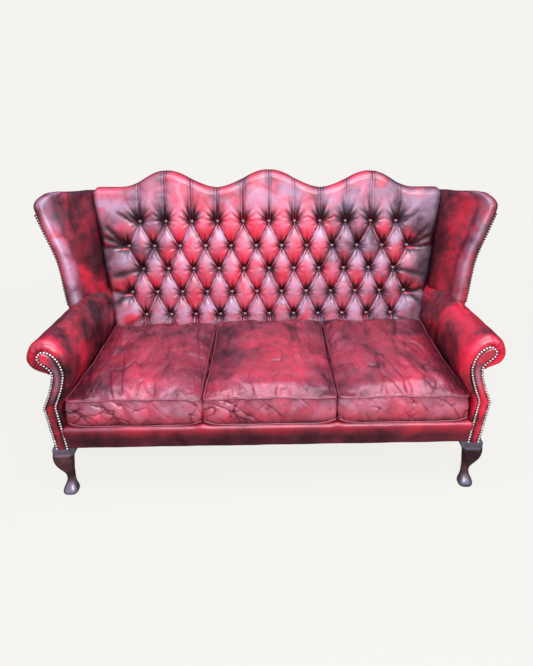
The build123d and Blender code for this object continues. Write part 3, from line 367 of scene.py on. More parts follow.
oxblood = [(0.1, "#22070D"), (0.28, "#400A14"), (0.45, "#7C0B1D"), (0.62, "#C00F2A"), (0.9, "#F01E42")]
rail_stops = [(0.12, "#35101A"), (0.32, "#571220"), (0.5, "#8C1228"), (0.75, "#C01A34"), (0.95, "#E83A54")]
back_hide = rub_off_leather("oxblood_hide_tufted", oxblood, 0.62, 0.62, 0.31, 0.6, 1.0, folds=True)
hide = rub_off_leather("oxblood_hide", oxblood, 0.45, 0.80, 0.30, 0.4, 0.06, shift=(0.3, 0.1, 0))
wing_hide = rub_off_leather("oxblood_hide_wings", oxblood, 0.45, 0.55, 0.30, 0.45, 0.06, shift=(0.6, 0.1, 0.3))
rail_hide = rub_off_leather("oxblood_hide_rail", rail_stops, 0.5, 0.42, 0.32, 0.4, 0.06, shift=(0.1, 0.5, 0))


def rubbed(piece, values, name="rub"):
    """Stores how far the wash is rubbed off, or how much sheen is painted on, at each point of a piece."""
    layer = piece.data.attributes.new(name, "FLOAT", "POINT")
    layer.data.foreach_set("value", np.broadcast_to(np.asarray(values, float), len(piece.data.vertices)).copy())


# The inside back: one hide over deep stuffing, folded into diamonds and pulled down by
# buttons, with upright pleats that run over the serpentine crest, and tacked behind it.
seat_depth = 0.577
seam_height = 0.446
back_lean = radians(11.9)
crest_low, crest_rise, side_crest_rise = 1.068, 0.080, 0.075
valley_x, side_crest_x, shoulder_x = 0.238, 0.465, 0.665
row_counts = [11, 12, 11, 12, 11]
row_shares = [0.0, 0.260, 0.503, 0.754, 1.0]
top_row, bottom_row = 0.909, 0.470
top_pitch, bottom_pitch = 0.1177, 0.1150
back_depth = 0.095
frame_depth = 0.060
tuft_depth = 0.035


def leaned(x, y, s):
    """World place of points in the leaning back: across, into the back, and up its slope."""
    up = s - seam_height
    return np.stack(np.broadcast_arrays(
        x, front + seat_depth + y * cos(back_lean) + up * sin(back_lean),
        seam_height - y * sin(back_lean) + up * cos(back_lean)), axis=-1)


def side_x(s):
    """Half width of the inside back at one height."""
    return 0.720 + (s - 0.420) * 0.117


def crest(x):
    """Height of the crest, with one hump in the middle and one each side."""
    x = np.abs(x)
    middle = crest_low + crest_rise * (1 + np.cos(pi * x / valley_x)) / 2
    rise = crest_low + side_crest_rise * (1 - np.cos(pi * (x - valley_x) / (side_crest_x - valley_x))) / 2
    fall = crest_low + side_crest_rise * (1 + np.cos(pi * (x - side_crest_x) / (shoulder_x - side_crest_x))) / 2
    return np.select([x < valley_x, x < side_crest_x, x < shoulder_x], [middle, rise, fall], crest_low)


row_heights = [top_row + (bottom_row - top_row) * share for share in row_shares]
button_places = []
for row, count in enumerate(row_counts):
    pitch = top_pitch + (bottom_pitch - top_pitch) * row_shares[row]
    button_places += [((i - (count - 1) / 2) * pitch, row_heights[row], row) for i in range(count)]

columns_in_half, rows_in_row = 18, 18
edge_columns, foot_rows, crest_rows, roll_rows = 24, 18, 42, 16
back_foot = 0.300
roll_radius = 0.034
lattice = np.linspace(-5.5, 5.5, 22 * columns_in_half + 1)
edge = np.linspace(0, 1, edge_columns + 1)[1:]
across = np.concatenate([-5.5 - edge[::-1], lattice, 5.5 + edge])
levels = np.concatenate([
    np.linspace(4.9, 4, foot_rows, endpoint=False), np.linspace(4, 0, 4 * rows_in_row, endpoint=False),
    -np.linspace(0, 1, crest_rows)])
turns = np.linspace(0, pi, roll_rows + 1)[1:]
row_now = np.concatenate([levels, np.full(roll_rows, -1.0)])[:, None]
turn_now = np.concatenate([np.zeros(len(levels)), turns])[:, None]
col = np.broadcast_to(across, (len(row_now), len(across)))
rough_s = np.interp(np.clip(row_now, 0, 4), range(5), row_heights)
rough_s = rough_s - np.clip(row_now - 4, 0, 1) / 0.9 * (bottom_row - back_foot)
pitch = top_pitch + (bottom_pitch - top_pitch) * np.clip((top_row - rough_s) / (top_row - bottom_row), 0, 1)
inner = np.clip(col, -5.5, 5.5) * pitch
beyond = np.clip(np.abs(col) - 5.5, 0, 1)
edge_height = np.where(row_now < 0, top_row - np.maximum(row_now, -1) * (1.04 - top_row), rough_s)
reach_guess = side_x(edge_height) + 0.006
x = inner + np.sign(col) * beyond * (reach_guess - 5.5 * pitch)
v = np.clip(-row_now, 0, 1)
s = np.where(row_now > 0, rough_s, top_row + v * (crest(x) - roll_radius - top_row))
fold = np.where(np.abs(col) <= 5.5, col, np.sign(col) * 5.5)
row_clip = np.clip(row_now, 0, 4)
U = fold + row_clip / 2
V = fold - row_clip / 2
fullness = np.abs(np.sin(pi * U) * np.sin(pi * V))
fullness = fullness + (1 - fullness) * np.clip(beyond * 2.2, 0, 1) ** 2.5
lower = np.where(row_now > 0, np.mod(U, 1) - np.mod(V, 1), 0)
power = 0.40 - 0.14 * v
swell = fullness ** power
crease = np.where(v > 0, 0.019 - 0.014 * v ** 0.6, 0.019) * (1 - turn_now / pi)
sink = crease * (1 - swell)
# How dark the hide is painted round each button: partly dye left in the pit, partly painted shade of the pit
near = np.zeros_like(x)
generator = np.random.default_rng(7)
for bx, bs, row in button_places:
    away = np.hypot(x - bx, s - bs)
    angle = np.arctan2(s - bs, x - bx)
    count = generator.integers(7, 11)
    phase = generator.uniform(0, 2 * pi)
    sink += 0.018 * np.exp(-(away / 0.020) ** 2)
    sink += 0.0018 * np.exp(-((away - 0.028) / 0.015) ** 2) * np.cos(count * angle + phase)
    streaks = 1 + 0.36 * np.cos((count + 5) * angle + 2 * phase)
    above = np.hypot((x - bx) / 0.021, (s - bs - 0.009) / 0.033) / streaks
    near = np.maximum(near, np.exp(-above ** 2))
    # Above each top-row button a dark flame, partly dye and partly painted shade of the fold above it
    if row == 0:
        upward = np.clip(np.sin(angle), 0, 1)
        sink += 0.0026 * np.exp(-((away - 0.040) / 0.024) ** 2) * np.cos(13 * angle + phase) * upward
        flame = 1 + 0.16 * np.cos(13 * angle + phase) + 0.14 * np.cos(22 * angle + 2 * phase)
        flame = np.hypot((x - bx) / 0.044, (s - bs) / 0.064) / flame
        near = np.maximum(near, np.exp(-flame ** 2) * upward ** 0.4)
# Long folds that the end buttons pull into the shoulders: ends, depth and half width
shoulder_folds = [
    ((0.600, 0.900), (0.690, 0.960), 0.0025, 0.007), ((0.655, 0.800), (0.742, 0.900), 0.0035, 0.009),
    ((0.650, 0.795), (0.755, 0.850), 0.0035, 0.008), ((0.655, 0.790), (0.760, 0.800), 0.003, 0.007),
    ((0.600, 0.690), (0.735, 0.655), 0.003, 0.010), ((0.645, 0.575), (0.735, 0.600), 0.003, 0.008),
    ((0.645, 0.575), (0.722, 0.520), 0.004, 0.010), ((0.590, 0.462), (0.700, 0.415), 0.003, 0.008),
]
for (x0, s0), (x1, s1), deep, wide in shoulder_folds:
    for side in (-1, 1):
        dx, ds = side * (x1 - x0), s1 - s0
        part = np.clip(((x - side * x0) * dx + (s - s0) * ds) / (dx * dx + ds * ds), 0, 1)
        away = np.hypot(x - side * x0 - part * dx, s - s0 - part * ds)
        pulled = np.exp(-(away / (1.4 * wide)) ** 2) * np.sin(pi * np.clip(part * 0.9 + 0.1, 0, 1)) ** 0.5
        sink += 1.2 * deep * pulled
        # Darker along each fold, as in the pits: partly dye, partly painted shade
        near = np.maximum(near, 0.5 * pulled)
last = np.clip((np.abs(x) - (reach_guess - 0.032)) / 0.032, 0, 1)
sink += np.where(np.abs(col) > 5.5, (0.056 - 0.004) * (1 - np.sqrt(1 - last ** 2)), 0)
half_thick = back_depth / 2
y = half_thick * (1 - np.cos(turn_now)) + sink * np.cos(turn_now)
s = s + (roll_radius - sink) * np.sin(turn_now)
s = np.where(turn_now >= pi, crest(x) - roll_radius, s)
front_skin = np.stack([x, y, s])
behind = []
for depth, drop in ((0.090, 0.038), (0.062, 0.038), (0.058, 0.12), (0.058, 0.4)):
    behind.append(np.stack([x[-1], np.full_like(x[-1], depth), crest(x[-1]) - drop]))
behind.append(np.stack([x[0], np.full_like(x[0], 0.058), np.full_like(x[0], back_foot)]))
skin = np.concatenate([front_skin, np.stack(behind, axis=1)], axis=1)
rings, width = skin.shape[1:]
points = leaned(*skin).reshape(-1, 3)
faces = []
depth_of = skin[1]
for r in range(rings):
    q = (r + 1) % rings
    for c in range(width - 1):
        a, b, d, e = r * width + c, r * width + c + 1, q * width + c + 1, q * width + c
        if r < rings - 6 and depth_of[r, c] + depth_of[q, c + 1] < depth_of[r, c + 1] + depth_of[q, c]:
            faces += [(a, b, e), (b, d, e)]
        else:
            faces += [(a, b, d), (a, d, e)]
faces.append([r * width for r in range(rings)])
faces.append([r * width + width - 1 for r in range(rings)][::-1])
inside_back = mesh_object("tufted_inside_back", points, faces, back_hide)
folds = np.zeros((rings, width, 2))
folds[:len(x), :, 0] = U
folds[:len(x), :, 1] = V
folds[len(x):] = 0.5
layer = inside_back.data.uv_layers.new(name="folds")
corner = np.zeros(len(inside_back.data.loops), dtype=np.int32)
inside_back.data.loops.foreach_get("vertex_index", corner)
layer.data.foreach_set("uv", folds.reshape(-1, 2)[corner].ravel())
# Darker beyond the end buttons, mostly on the right
dusky = np.clip(beyond * 2.5, 0, 1) * np.clip(1.25 - np.abs(row_now - 1.2) / 1.7, 0, 1) * np.where(x > 0, 1.0, 0.45)
# Painted shade where the hide dives in beside the wings
rim = np.clip((np.abs(x) - (reach_guess - 0.075)) / 0.075, 0, 1) ** 2 * (1 - 0.8 * np.clip(v * 2, 0, 1))
rub = np.full((rings, width), 0.4)
# Darker round the buttons and in the shoulder folds (partly dye, partly painted shade), with painted shade along the
# edges beside the wings
rub[:len(x)] = np.clip(0.35 + 0.55 * fullness ** 0.3 + 0.3 * np.clip(lower, 0, 1) - 1.1 * near - 0.5 * last
                       - 0.25 * np.clip(np.abs(x) / 0.75, 0, 1) ** 3 - 0.25 * np.clip((x - 0.2) / 0.3, 0, 1)
                       - 0.5 * dusky - 0.5 * rim - 0.1 * np.clip(turn_now / 1.2, 0, 1), -0.2, 1.1)
rubbed(inside_back, rub.ravel())
firmness = np.zeros((rings, width))
firmness[:len(x)] = (1 - 0.55 * np.clip(v * 4, 0, 1)) * (1 - np.clip(beyond * 2, 0, 1))
# A painted lilac sheen of reflected sky: on the upper half of each diamond, over the crest and in the low rows, with
# none in the pits round the buttons, beside the wings or over the roll
sheen_paint = np.zeros((rings, width))
sheen_paint[:len(x)] = 0.78 * np.clip(0.62 - lower, 0, 1) + 0.25 * np.clip(v * 3, 0, 1) + 0.22 * np.clip(row_now - 2.8, 0, 1)
sheen_paint[:len(x)] *= (1 - near) ** 2.5 * (1 - 0.6 * dusky) * (1 - rim) * (1 - 0.8 * np.clip(turn_now / 1.0, 0, 1))
sheen_paint[:len(x)] *= 1 - np.clip((v - 0.75) * 4, 0, 1) * 0.4
rubbed(inside_back, sheen_paint.ravel(), "sheen_paint")
rubbed(inside_back, firmness.ravel(), "fold")
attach(inside_back, "sofa")
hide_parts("inside_back")


# The back's buttons: small domed moulds covered with offcuts of the same hide, each on a
# twine that goes through the stuffing, so that it sits at the bottom of its pit.
button_hide = rub_off_leather("button_hide", [(0.1, "#200B12"), (0.5, "#3E1822"), (0.9, "#6E303D")], 0.6, 0.4,
                              0.20, 0.9, 0.3)
button_tree = bpy.data.node_groups.new("covered_buttons", "GeometryNodeTree")
for name, kind, way in (("Places", "NodeSocketGeometry", "INPUT"), ("Diameter", "NodeSocketFloat", "INPUT"),
                        ("Dome", "NodeSocketFloat", "INPUT"), ("Lean", "NodeSocketVector", "INPUT"),
                        ("Cover", "NodeSocketMaterial", "INPUT"), ("Buttons", "NodeSocketGeometry", "OUTPUT")):
    button_tree.interface.new_socket(name, in_out=way, socket_type=kind)
group_in = add(button_tree, "NodeGroupInput")
ball = add(button_tree, "GeometryNodeMeshUVSphere", {"Segments": 20, "Rings": 12, "Radius": 0.5})
scale = add(button_tree, "ShaderNodeCombineXYZ", {0: group_in.outputs["Diameter"], 2: group_in.outputs["Diameter"]})
deep = add(button_tree, "ShaderNodeMath", {0: group_in.outputs["Dome"], 1: 2.0}, operation="MULTIPLY")
button_tree.links.new(deep.outputs[0], scale.inputs[1])
dome = add(button_tree, "GeometryNodeTransform", {"Geometry": ball.outputs[0], "Scale": scale.outputs[0]})
smoothed = add(button_tree, "GeometryNodeSetShadeSmooth", {"Geometry": dome.outputs[0]})
placed = add(button_tree, "GeometryNodeInstanceOnPoints", {
    "Points": group_in.outputs["Places"], "Instance": smoothed.outputs[0], "Rotation": group_in.outputs["Lean"]})
real = add(button_tree, "GeometryNodeRealizeInstances", {0: placed.outputs[0]})
covered = add(button_tree, "GeometryNodeSetMaterial", {"Geometry": real.outputs[0],
                                                       "Material": group_in.outputs["Cover"]})
add(button_tree, "NodeGroupOutput", {0: covered.outputs[0]})


def grown(name, places, tree, settings, ways=None):
    """Plain mesh of what a tree makes on a set of places, or along the line through them."""
    seeds = mesh_object(name + "_places", places, [])
    if ways is not None:
        seeds.data.edges.add(len(places) - 1)
        seeds.data.edges.foreach_set("vertices", [k for i in range(len(places) - 1) for k in (i, i + 1)])
        layer = seeds.data.attributes.new("outward", "FLOAT_VECTOR", "POINT")
        layer.data.foreach_set("vector", np.asarray(ways, float).ravel())
    modifier = seeds.modifiers.new(name, "NODES")
    modifier.node_group = tree
    sockets = {item.name: item.identifier for item in tree.interface.items_tree if item.in_out == "INPUT"}
    for key, value in settings.items():
        modifier[sockets[key]] = value
    seeds.update_tag()
    ready = seeds.evaluated_get(bpy.context.evaluated_depsgraph_get())
    made = bpy.data.objects.new(name, bpy.data.meshes.new_from_object(ready))
    bpy.context.scene.collection.objects.link(made)
    bpy.data.objects.remove(seeds)
    return made


places = [leaned(bx, tuft_depth - 0.001, bs) for bx, bs, _ in button_places]
buttons = grown("covered_buttons", places, button_tree,
                {"Diameter": 0.0225, "Dome": 0.0085, "Lean": (-back_lean, 0.0, 0.0), "Cover": button_hide})
rubbed(buttons, 0.7)
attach(buttons, "sofa")
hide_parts("back_buttons")

# The wings: a beech frame padded on the inside, with the hide drawn round the front edge in
# a firm roll and nailed down on the outside, where a flat panel of hide covers the rest.
wing_foot, wing_top = 0.550, 1.052
wing_foot_x, wing_flare, wing_reach = 0.842, 0.120, 0.1875
wing_thickness, wing_nose = 0.052, 0.017
wing_corner, wing_corner_length = 0.072, 0.112
wing_top_slope = 0.08
post_width = 0.050
nails_face = np.array([0.91, -0.41])
wing_edge_shares = [(0.0, 0.0), (0.15, 0.11), (0.43, 0.31), (0.70, 0.73), (0.865, 0.975), (1.0, 1.0)]


def spline(points, count):
    """Smooth line through points, with the given number of steps between each two."""
    p = np.asarray(points, float)
    ghost = np.concatenate([2 * p[:1] - p[1:2], p, 2 * p[-1:] - p[-2:-1]])
    t = np.linspace(0, 1, count, endpoint=False)[:, None]
    parts = []
    for a, b, c, d in zip(ghost, ghost[1:], ghost[2:], ghost[3:]):
        parts.append(b + t * (c - a) / 2 + t ** 2 * (a - 2.5 * b + 2 * c - d / 2)
                     + t ** 3 * (1.5 * (b - c) + (d - a) / 2))
    return np.concatenate(parts + [p[-1:]])


def mirrored(points, side):
    """The same points on the right-hand (1) or left-hand (-1) side."""
    return np.asarray(points) * np.array([side, 1, 1])


def tube_faces(rings, around, side=1):
    """Faces of a closed tube with a cap at each end, turned outwards on either side."""
    faces = []
    for r in range(rings - 1):
        for k in range(around):
            m = (k + 1) % around
            faces.append((r * around + k, r * around + m, (r + 1) * around + m, (r + 1) * around + k))
    faces.append(tuple(range(around))[::-1])
    faces.append(tuple((rings - 1) * around + k for k in range(around)))
    return faces if side > 0 else [f[::-1] for f in faces]


def outward(piece):
    """Turns all faces of a closed mesh outwards."""
    import bmesh
    work = bmesh.new()
    work.from_mesh(piece.data)
    bmesh.ops.recalc_face_normals(work, faces=work.faces)
    work.to_mesh(piece.data)
    work.free()


def rumple(piece, height, size, seed, keep=None):
    """Moves the points of a piece in and out a little, in soft dents of one size."""
    data = piece.data
    offset = Vector((seed * 3.1, seed * 1.7, seed * 2.3))
    moves = []
    for vertex, normal in zip(data.vertices, data.vertex_normals):
        depth = noise.noise((vertex.co + offset) / size) + 0.5 * noise.noise((vertex.co + offset) * 2.3 / size)
        moves.append(vertex.co + normal.vector * height * depth * (keep[vertex.index] if keep is not None else 1))
    for vertex, place in zip(data.vertices, moves):
        vertex.co = place
    data.update()


edge_table = spline([(wing_foot + (wing_top - wing_foot) * a, wing_foot_x + wing_flare * b)
                     for a, b in wing_edge_shares], 12)


def wing_section(level, inset):
    """Closed outline of the wing at one level, its rub, and the line that its nails follow."""
    s = wing_foot + (wing_top - wing_foot) * level
    x0 = side_x(s)
    full = np.interp(s, edge_table[:, 0], edge_table[:, 1])
    rise = np.clip((s - (wing_top - wing_corner)) / wing_corner, 0, 1)
    shrink = 1 - wing_corner_length * (1 - sqrt(1 - rise ** 2)) / wing_reach
    direction = np.array([full - x0 - post_width, -wing_reach])
    outer_end = np.array([x0 + post_width + 0.004, 0]) + direction * shrink
    length = hypot(full - x0, wing_reach)
    normal = np.array([wing_reach, full - x0]) / length
    inner_end = outer_end - normal * wing_thickness
    ahead = np.array([normal[1], -normal[0]])
    t = np.linspace(0, 1, 25)[:, None]
    inner = np.array([x0, 0]) + (inner_end - [x0, 0]) * t
    # Two shallow swellings: the inside panel, and the roll along the front edge
    swell = np.where(t < 0.78, 0.011 * np.abs(np.sin(pi * t / 0.78)) ** 0.7,
                     0.007 * np.abs(np.sin(pi * (t - 0.78) / 0.44)) ** 0.8)
    inner = inner - normal * swell * shrink
    outer = np.array([x0 + post_width + 0.004, 0]) + (outer_end - [x0 + post_width + 0.004, 0]) * t
    outer = outer - normal * 0.004 * (1 - np.clip((t - 0.84) / 0.04, 0, 1))
    turn = np.linspace(0, pi, 15)[1:-1, None]
    middle = (inner[-1] + outer[-1]) / 2
    nose = middle + (inner[-1] - middle) * np.cos(turn) + ahead * np.sin(turn) * (wing_nose + 0.004)
    rear = [(x0, 0.094), (x0, 0.06), (x0, 0.02)]
    back_side = [(x0 + post_width - 0.004, 0.02), (x0 + post_width - 0.004, 0.06), (x0 + post_width - 0.004, 0.094)]
    loop = np.concatenate([rear, inner, nose, outer[::-1], back_side])
    partner = np.concatenate([back_side[::-1], outer, nose[::-1], inner[::-1], rear[::-1]])
    gap = np.linalg.norm(partner - loop, axis=1, keepdims=True)
    centre = (partner + loop) / 2
    loop = loop + (centre - loop) * np.clip(2 * inset / np.maximum(gap, 0.03), 0, 0.8)
    part = np.concatenate([[0, 0, 0], t[:, 0], np.ones(len(nose)), t[::-1, 0], [0, 0, 0]])
    up = s + level ** 3 * wing_top_slope * np.maximum(-loop[:, 1] - 0.062, -0.02)
    worn = 0.10 + 0.45 * np.sin(np.clip(part, 0, 1) * pi / 2) ** 1.5 - 0.25 * np.exp(-((part - 0.78) / 0.05) ** 2)
    # The nails stand round the outer front of the roll
    turn_out = np.arctan2((wing_nose + 0.004) * (ahead @ nails_face), wing_thickness / 2 * (normal @ nails_face))
    nail_place = middle + normal * wing_thickness / 2 * cos(turn_out) + ahead * (wing_nose + 0.004) * sin(turn_out)
    nail_place = nail_place + 0.0022 * nails_face
    # A band down the front of the roll, where a sheen of reflected sky is painted on
    front_roll = np.exp(-((np.arange(len(loop)) - 28) / 4.5) ** 2)
    return np.column_stack([loop, up]), worn, np.append(nail_place, s), front_roll


wing_levels = np.concatenate([np.linspace(-0.05, 1 - 0.018 / (wing_top - wing_foot), 72),
                              1 - 0.018 * (1 - np.sin(np.linspace(0, pi / 2, 10)[1:])) / (wing_top - wing_foot)])
wing_insets = np.concatenate([np.zeros(72), 0.018 * (1 - np.cos(np.linspace(0, pi / 2, 10)[1:]))])
wing_nail_lines = {}
for side, name in ((-1, "left"), (1, "right")):
    sections = [wing_section(level, inset) for level, inset in zip(wing_levels, wing_insets)]
    loops = np.stack([leaned(*mirrored(section[0], side).T) for section in sections])
    wing = mesh_object(f"wing_padding_{name}", loops.reshape(-1, 3),
                       tube_faces(len(loops), loops.shape[1], side), wing_hide)
    outward(wing)
    rumple(wing, 0.0016, 0.075, 11 + side)
    rubbed(wing, np.concatenate([section[1] for section in sections]))
    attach(wing, "sofa")
    # A painted sheen of reflected sky down the front roll, stronger on the left-hand wing
    lit = np.concatenate([section[3] for section in sections])
    rubbed(wing, (0.95 if side < 0 else 0.45) * lit, "sheen_paint")
    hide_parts(f"wing_pad_{name}")
    line = []
    for level in np.linspace(0.07, 1 - 0.090 / (wing_top - wing_foot), 40):
        place = wing_section(level, 0)[2]
        tip = leaned(*mirrored([place, place + np.append(nails_face, 0)], side).T)
        line.append((tip[0], tip[1] - tip[0]))
    wing_nail_lines[name] = line


# The outside: flat panels of the same hide on the outside of the arms and wings and across
# the back, blind-tacked along the top and turned under the bottom rails.
flat_hide = rub_off_leather("oxblood_hide_flat", oxblood, 0.18, 0.42, 0.36, 0.5, 0.1, shift=(0.7, 0.4, 0.2))
paint([f"outside_{which}_panel_{side}" for which in ("arm", "wing") for side in ("left", "right")], flat_hide)
paint(["outside_back_panel"], flat_hide)


# The arms: hide over wadding on a scrolled frame, pulled smooth along the arm, rolled over
# its front edge in a lip, and tucked down beside the cushions.
arm_inner, arm_width, arm_height, leg_height = 0.715, 0.166, 0.460, 0.210
arm_toe_in, arm_length = 0.055, 0.690
lip_front, lip_back = 0.002, 0.036
front_skin_shares = [
    (0.325, 0.20), (0.345, 0.29), (0.355, 0.40), (0.14, 0.55), (0.02, 0.69), (0.11, 0.87), (0.48, 1.00),
    (0.85, 0.96), (1.00, 0.84), (0.93, 0.76), (0.74, 0.72), (0.63, 0.71), (0.54, 0.70),
]
front_core_shares = [
    (0.39, 0.20), (0.42, 0.30), (0.46, 0.41), (0.29, 0.56), (0.19, 0.695), (0.25, 0.83), (0.55, 0.93),
    (0.70, 0.90), (0.74, 0.86), (0.67, 0.81), (0.56, 0.775), (0.51, 0.75), (0.49, 0.725),
]
rear_skin_shares = [
    (0.26, 0.20), (0.275, 0.31), (0.27, 0.40), (0.30, 0.54), (0.36, 0.68), (0.43, 0.81), (0.66, 0.89),
    (0.84, 0.87), (0.95, 0.81), (0.93, 0.76), (0.84, 0.73), (0.78, 0.72), (0.73, 0.71),
]
rear_core_shares = [
    (0.39, 0.20), (0.405, 0.31), (0.41, 0.40), (0.45, 0.54), (0.51, 0.68), (0.55, 0.78), (0.66, 0.83),
    (0.76, 0.83), (0.81, 0.80), (0.80, 0.78), (0.76, 0.76), (0.74, 0.74), (0.72, 0.74),
]


def arm_line(shares, steps, shift=0.0):
    """Smooth line through an arm outline, across and up, in metres."""
    line = spline(shares, steps)
    return np.column_stack([arm_inner - shift + line[:, 0] * arm_width, leg_height + line[:, 1] * arm_height])


arm_patches = [(0.9, 0.13, 0.040, 0.34), (0.6, 0.21, 0.045, 0.36), (0.6, 0.30, 0.090, 0.22)]
steps = 8
skin_a, core_a = arm_line(front_skin_shares, steps), arm_line(front_core_shares, steps)
skin_b, core_b = (arm_line(shares, steps, arm_toe_in) for shares in (rear_skin_shares, rear_core_shares))
count = len(skin_a)
bearing = np.linspace(0, pi / 2, 9)
for side, name in ((-1, "left"), (1, "right")):
    rows, worn = [], []
    stations = [("lip", a) for a in bearing[::-1]] + [("body", b) for b in np.linspace(0, 1, 72)[1:]]
    for kind, value in stations:
        if kind == "lip":
            full = 0.16 + 0.84 * cos(value)
            skin = core_a + (skin_a - core_a) * full
            depth = lip_back - (lip_back - lip_front) * sin(value)
            pucker = 0.0011 * np.sin(np.arange(count) * 1.45 + 2 * side) * sin(value) ** 2
            rows.append((np.column_stack([skin[:, 0], depth + pucker, skin[:, 1]]),
                         np.column_stack([core_a[:, 0], np.full(count, depth + 0.014), core_a[:, 1]])))
            worn.append(1.15 - 0.25 * sin(value) ** 6)
        else:
            pair = []
            for a, b in ((skin_a, skin_b), (core_a, core_b)):
                last = seat_depth + (a[:, 1] - seam_height) * np.tan(back_lean) + frame_depth
                part = np.clip((last - lip_back) / (arm_length - lip_back), 0, 1) * value
                line = a + (b - a) * part[:, None]
                pair.append(np.column_stack([line[:, 0], lip_back + (arm_length - lip_back) * part, line[:, 1]]))
            rows.append(tuple(pair))
            worn.append(0.95 - 0.55 * value)
    loops = np.stack([np.concatenate([skin, core[::-1]]) for skin, core in rows])
    loops = mirrored(loops + np.array([0, front, 0]), side)
    arm = mesh_object(f"arm_padding_{name}", loops.reshape(-1, 3), tube_faces(len(loops), 2 * count, side), hide)
    outward(arm)
    profile = np.concatenate([np.clip(np.linspace(0.45, 1.7, count), 0, 1), np.zeros(count)])
    inside = np.tile(profile, len(loops))
    rumple(arm, 0.0030, 0.110, 21 + side, keep=np.tile(np.concatenate([np.ones(count), np.zeros(count)]), len(loops)))
    # Dark patches of wash are left inside the right-hand arm
    up_share = np.tile(np.concatenate([np.linspace(0, 1, count), np.ones(count)]), len(loops))
    deep_in = loops.reshape(-1, 3)[:, 1] - front
    patches = sum(amount * np.exp(-((deep_in - at) / long) ** 2 - ((up_share - high) / 0.12) ** 2)
                  for amount, at, long, high in arm_patches) if side > 0 else 0.35
    rubbed(arm, inside * np.repeat(worn, 2 * count) - patches)
    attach(arm, "sofa")
    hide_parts(f"arm_pad_{name}")


# The arm facings: thin shaped boards padded and covered in hide, pinned over the raw edges of
# the arm covers, with a fold across the knee where the board bends forward.
facing_inner_shares = [(0.46, 0.41), (0.29, 0.56), (0.19, 0.695), (0.205, 0.775), (0.25, 0.83), (0.33, 0.88),
                       (0.43, 0.912), (0.52, 0.928), (0.62, 0.925)]
facing_outer_shares = [(0.765, 0.405), (0.59, 0.55), (0.475, 0.695), (0.51, 0.75), (0.60, 0.785), (0.70, 0.82),
                       (0.74, 0.86), (0.72, 0.89), (0.64, 0.92)]
facing_feet_shares = [(0.345, 0.0), (0.64, 0.0)]
facing_back = 0.018
lower_rows, across_facing = 26, 27
edges = []
for shares, foot in zip((facing_inner_shares, facing_outer_shares), facing_feet_shares):
    lower = np.linspace(foot, shares[0], lower_rows, endpoint=False)
    line = np.concatenate([lower, spline(shares, 8)])
    edges.append(np.column_stack([arm_inner + line[:, 0] * arm_width, leg_height + line[:, 1] * arm_height]))
inner_edge, outer_edge = edges
w = np.linspace(0, 1, across_facing)[None, :, None]
panel = inner_edge[:, None] + (outer_edge - inner_edge)[:, None] * w
level = np.arange(len(inner_edge))[:, None] - lower_rows
knee = np.where(level > 0, np.exp(-(level / 9.0) ** 2), np.exp(-(level / 2.2) ** 2))
rim = np.minimum(w[..., 0], 1 - w[..., 0])
width = np.linalg.norm(outer_edge - inner_edge, axis=1)[:, None]
border = np.clip((rim * width - 0.009) / 0.012, 0, 1)
tip = np.clip((len(inner_edge) - 1 - np.arange(len(inner_edge)))[:, None] / 10, 0, 1)
puff = 0.006 * (3 * border ** 2 - 2 * border ** 3) * np.sqrt(tip)
turned = 0.004 * (1 - np.sqrt(1 - (1 - np.clip(rim * width / 0.003, 0, 1)) ** 2))
crease = 0.003 * np.exp(-((level + 3.0) / 1.2) ** 2)
face_y = turned - puff - 0.005 * knee * (0.4 + 0.6 * border) + crease
for side, name in ((-1, "left"), (1, "right")):
    plate = np.stack([panel[..., 0], front + face_y, panel[..., 1]], axis=-1)
    behind = np.stack([panel[..., 0], np.full(face_y.shape, front + facing_back), panel[..., 1]], axis=-1)
    rings = np.concatenate([plate, behind[:, ::-1]], axis=1)
    facing = mesh_object(f"arm_facing_cover_{name}", mirrored(rings.reshape(-1, 3), side),
                         tube_faces(len(rings), rings.shape[1], side), hide)
    outward(facing)
    # A painted sheen of reflected sky lies up the neck of the scroll, above the knee
    neck = np.clip((level - 2) / 8, 0, 1) * np.clip((34 - level) / 14, 0.2, 1)
    # The hide is painted dark close to the edges, under the nails, as painted shade in the gaps between their heads
    worn = np.clip(0.15 + (0.75 - 0.2 * neck) * border + 0.1 * knee, 0, 1)
    rubbed(facing, np.concatenate([worn, np.zeros_like(worn)], axis=1).ravel())
    rubbed(facing, np.concatenate([0.45 * border * neck, np.zeros_like(worn)], axis=1).ravel(), "sheen_paint")
    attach(facing, "sofa")
    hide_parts(f"arm_facing_{name}")


# The nails: antique brass-plated domes, hammered in nearly edge to edge round the facings and
# down the outside of the wings. Their tops are polished and the metal is tarnished in places;
# the dark in the gaps is painted shade on the hide beneath.
nail_head, nail_pitch, nail_dome, nail_inset = 0.0104, 0.0115, 0.0042, 0.005
nail_metal, tree, shader = new_material("antique_nickel_nails")
place = add(tree, "ShaderNodeTexCoord").outputs["Object"]
tarnish = add(tree, "ShaderNodeTexNoise", {"Vector": place, "Scale": 130.0, "Detail": 3.0})
colours = add(tree, "ShaderNodeValToRGB", {0: tarnish.outputs[0]}, stops=[(0.3, "#8C8272"), (0.55, "#E6E0D2")])
tree.links.new(colours.outputs[0], shader.inputs["Base Color"])
shader.inputs["Metallic"].default_value = 1.0
shader.inputs["Roughness"].default_value = 0.28
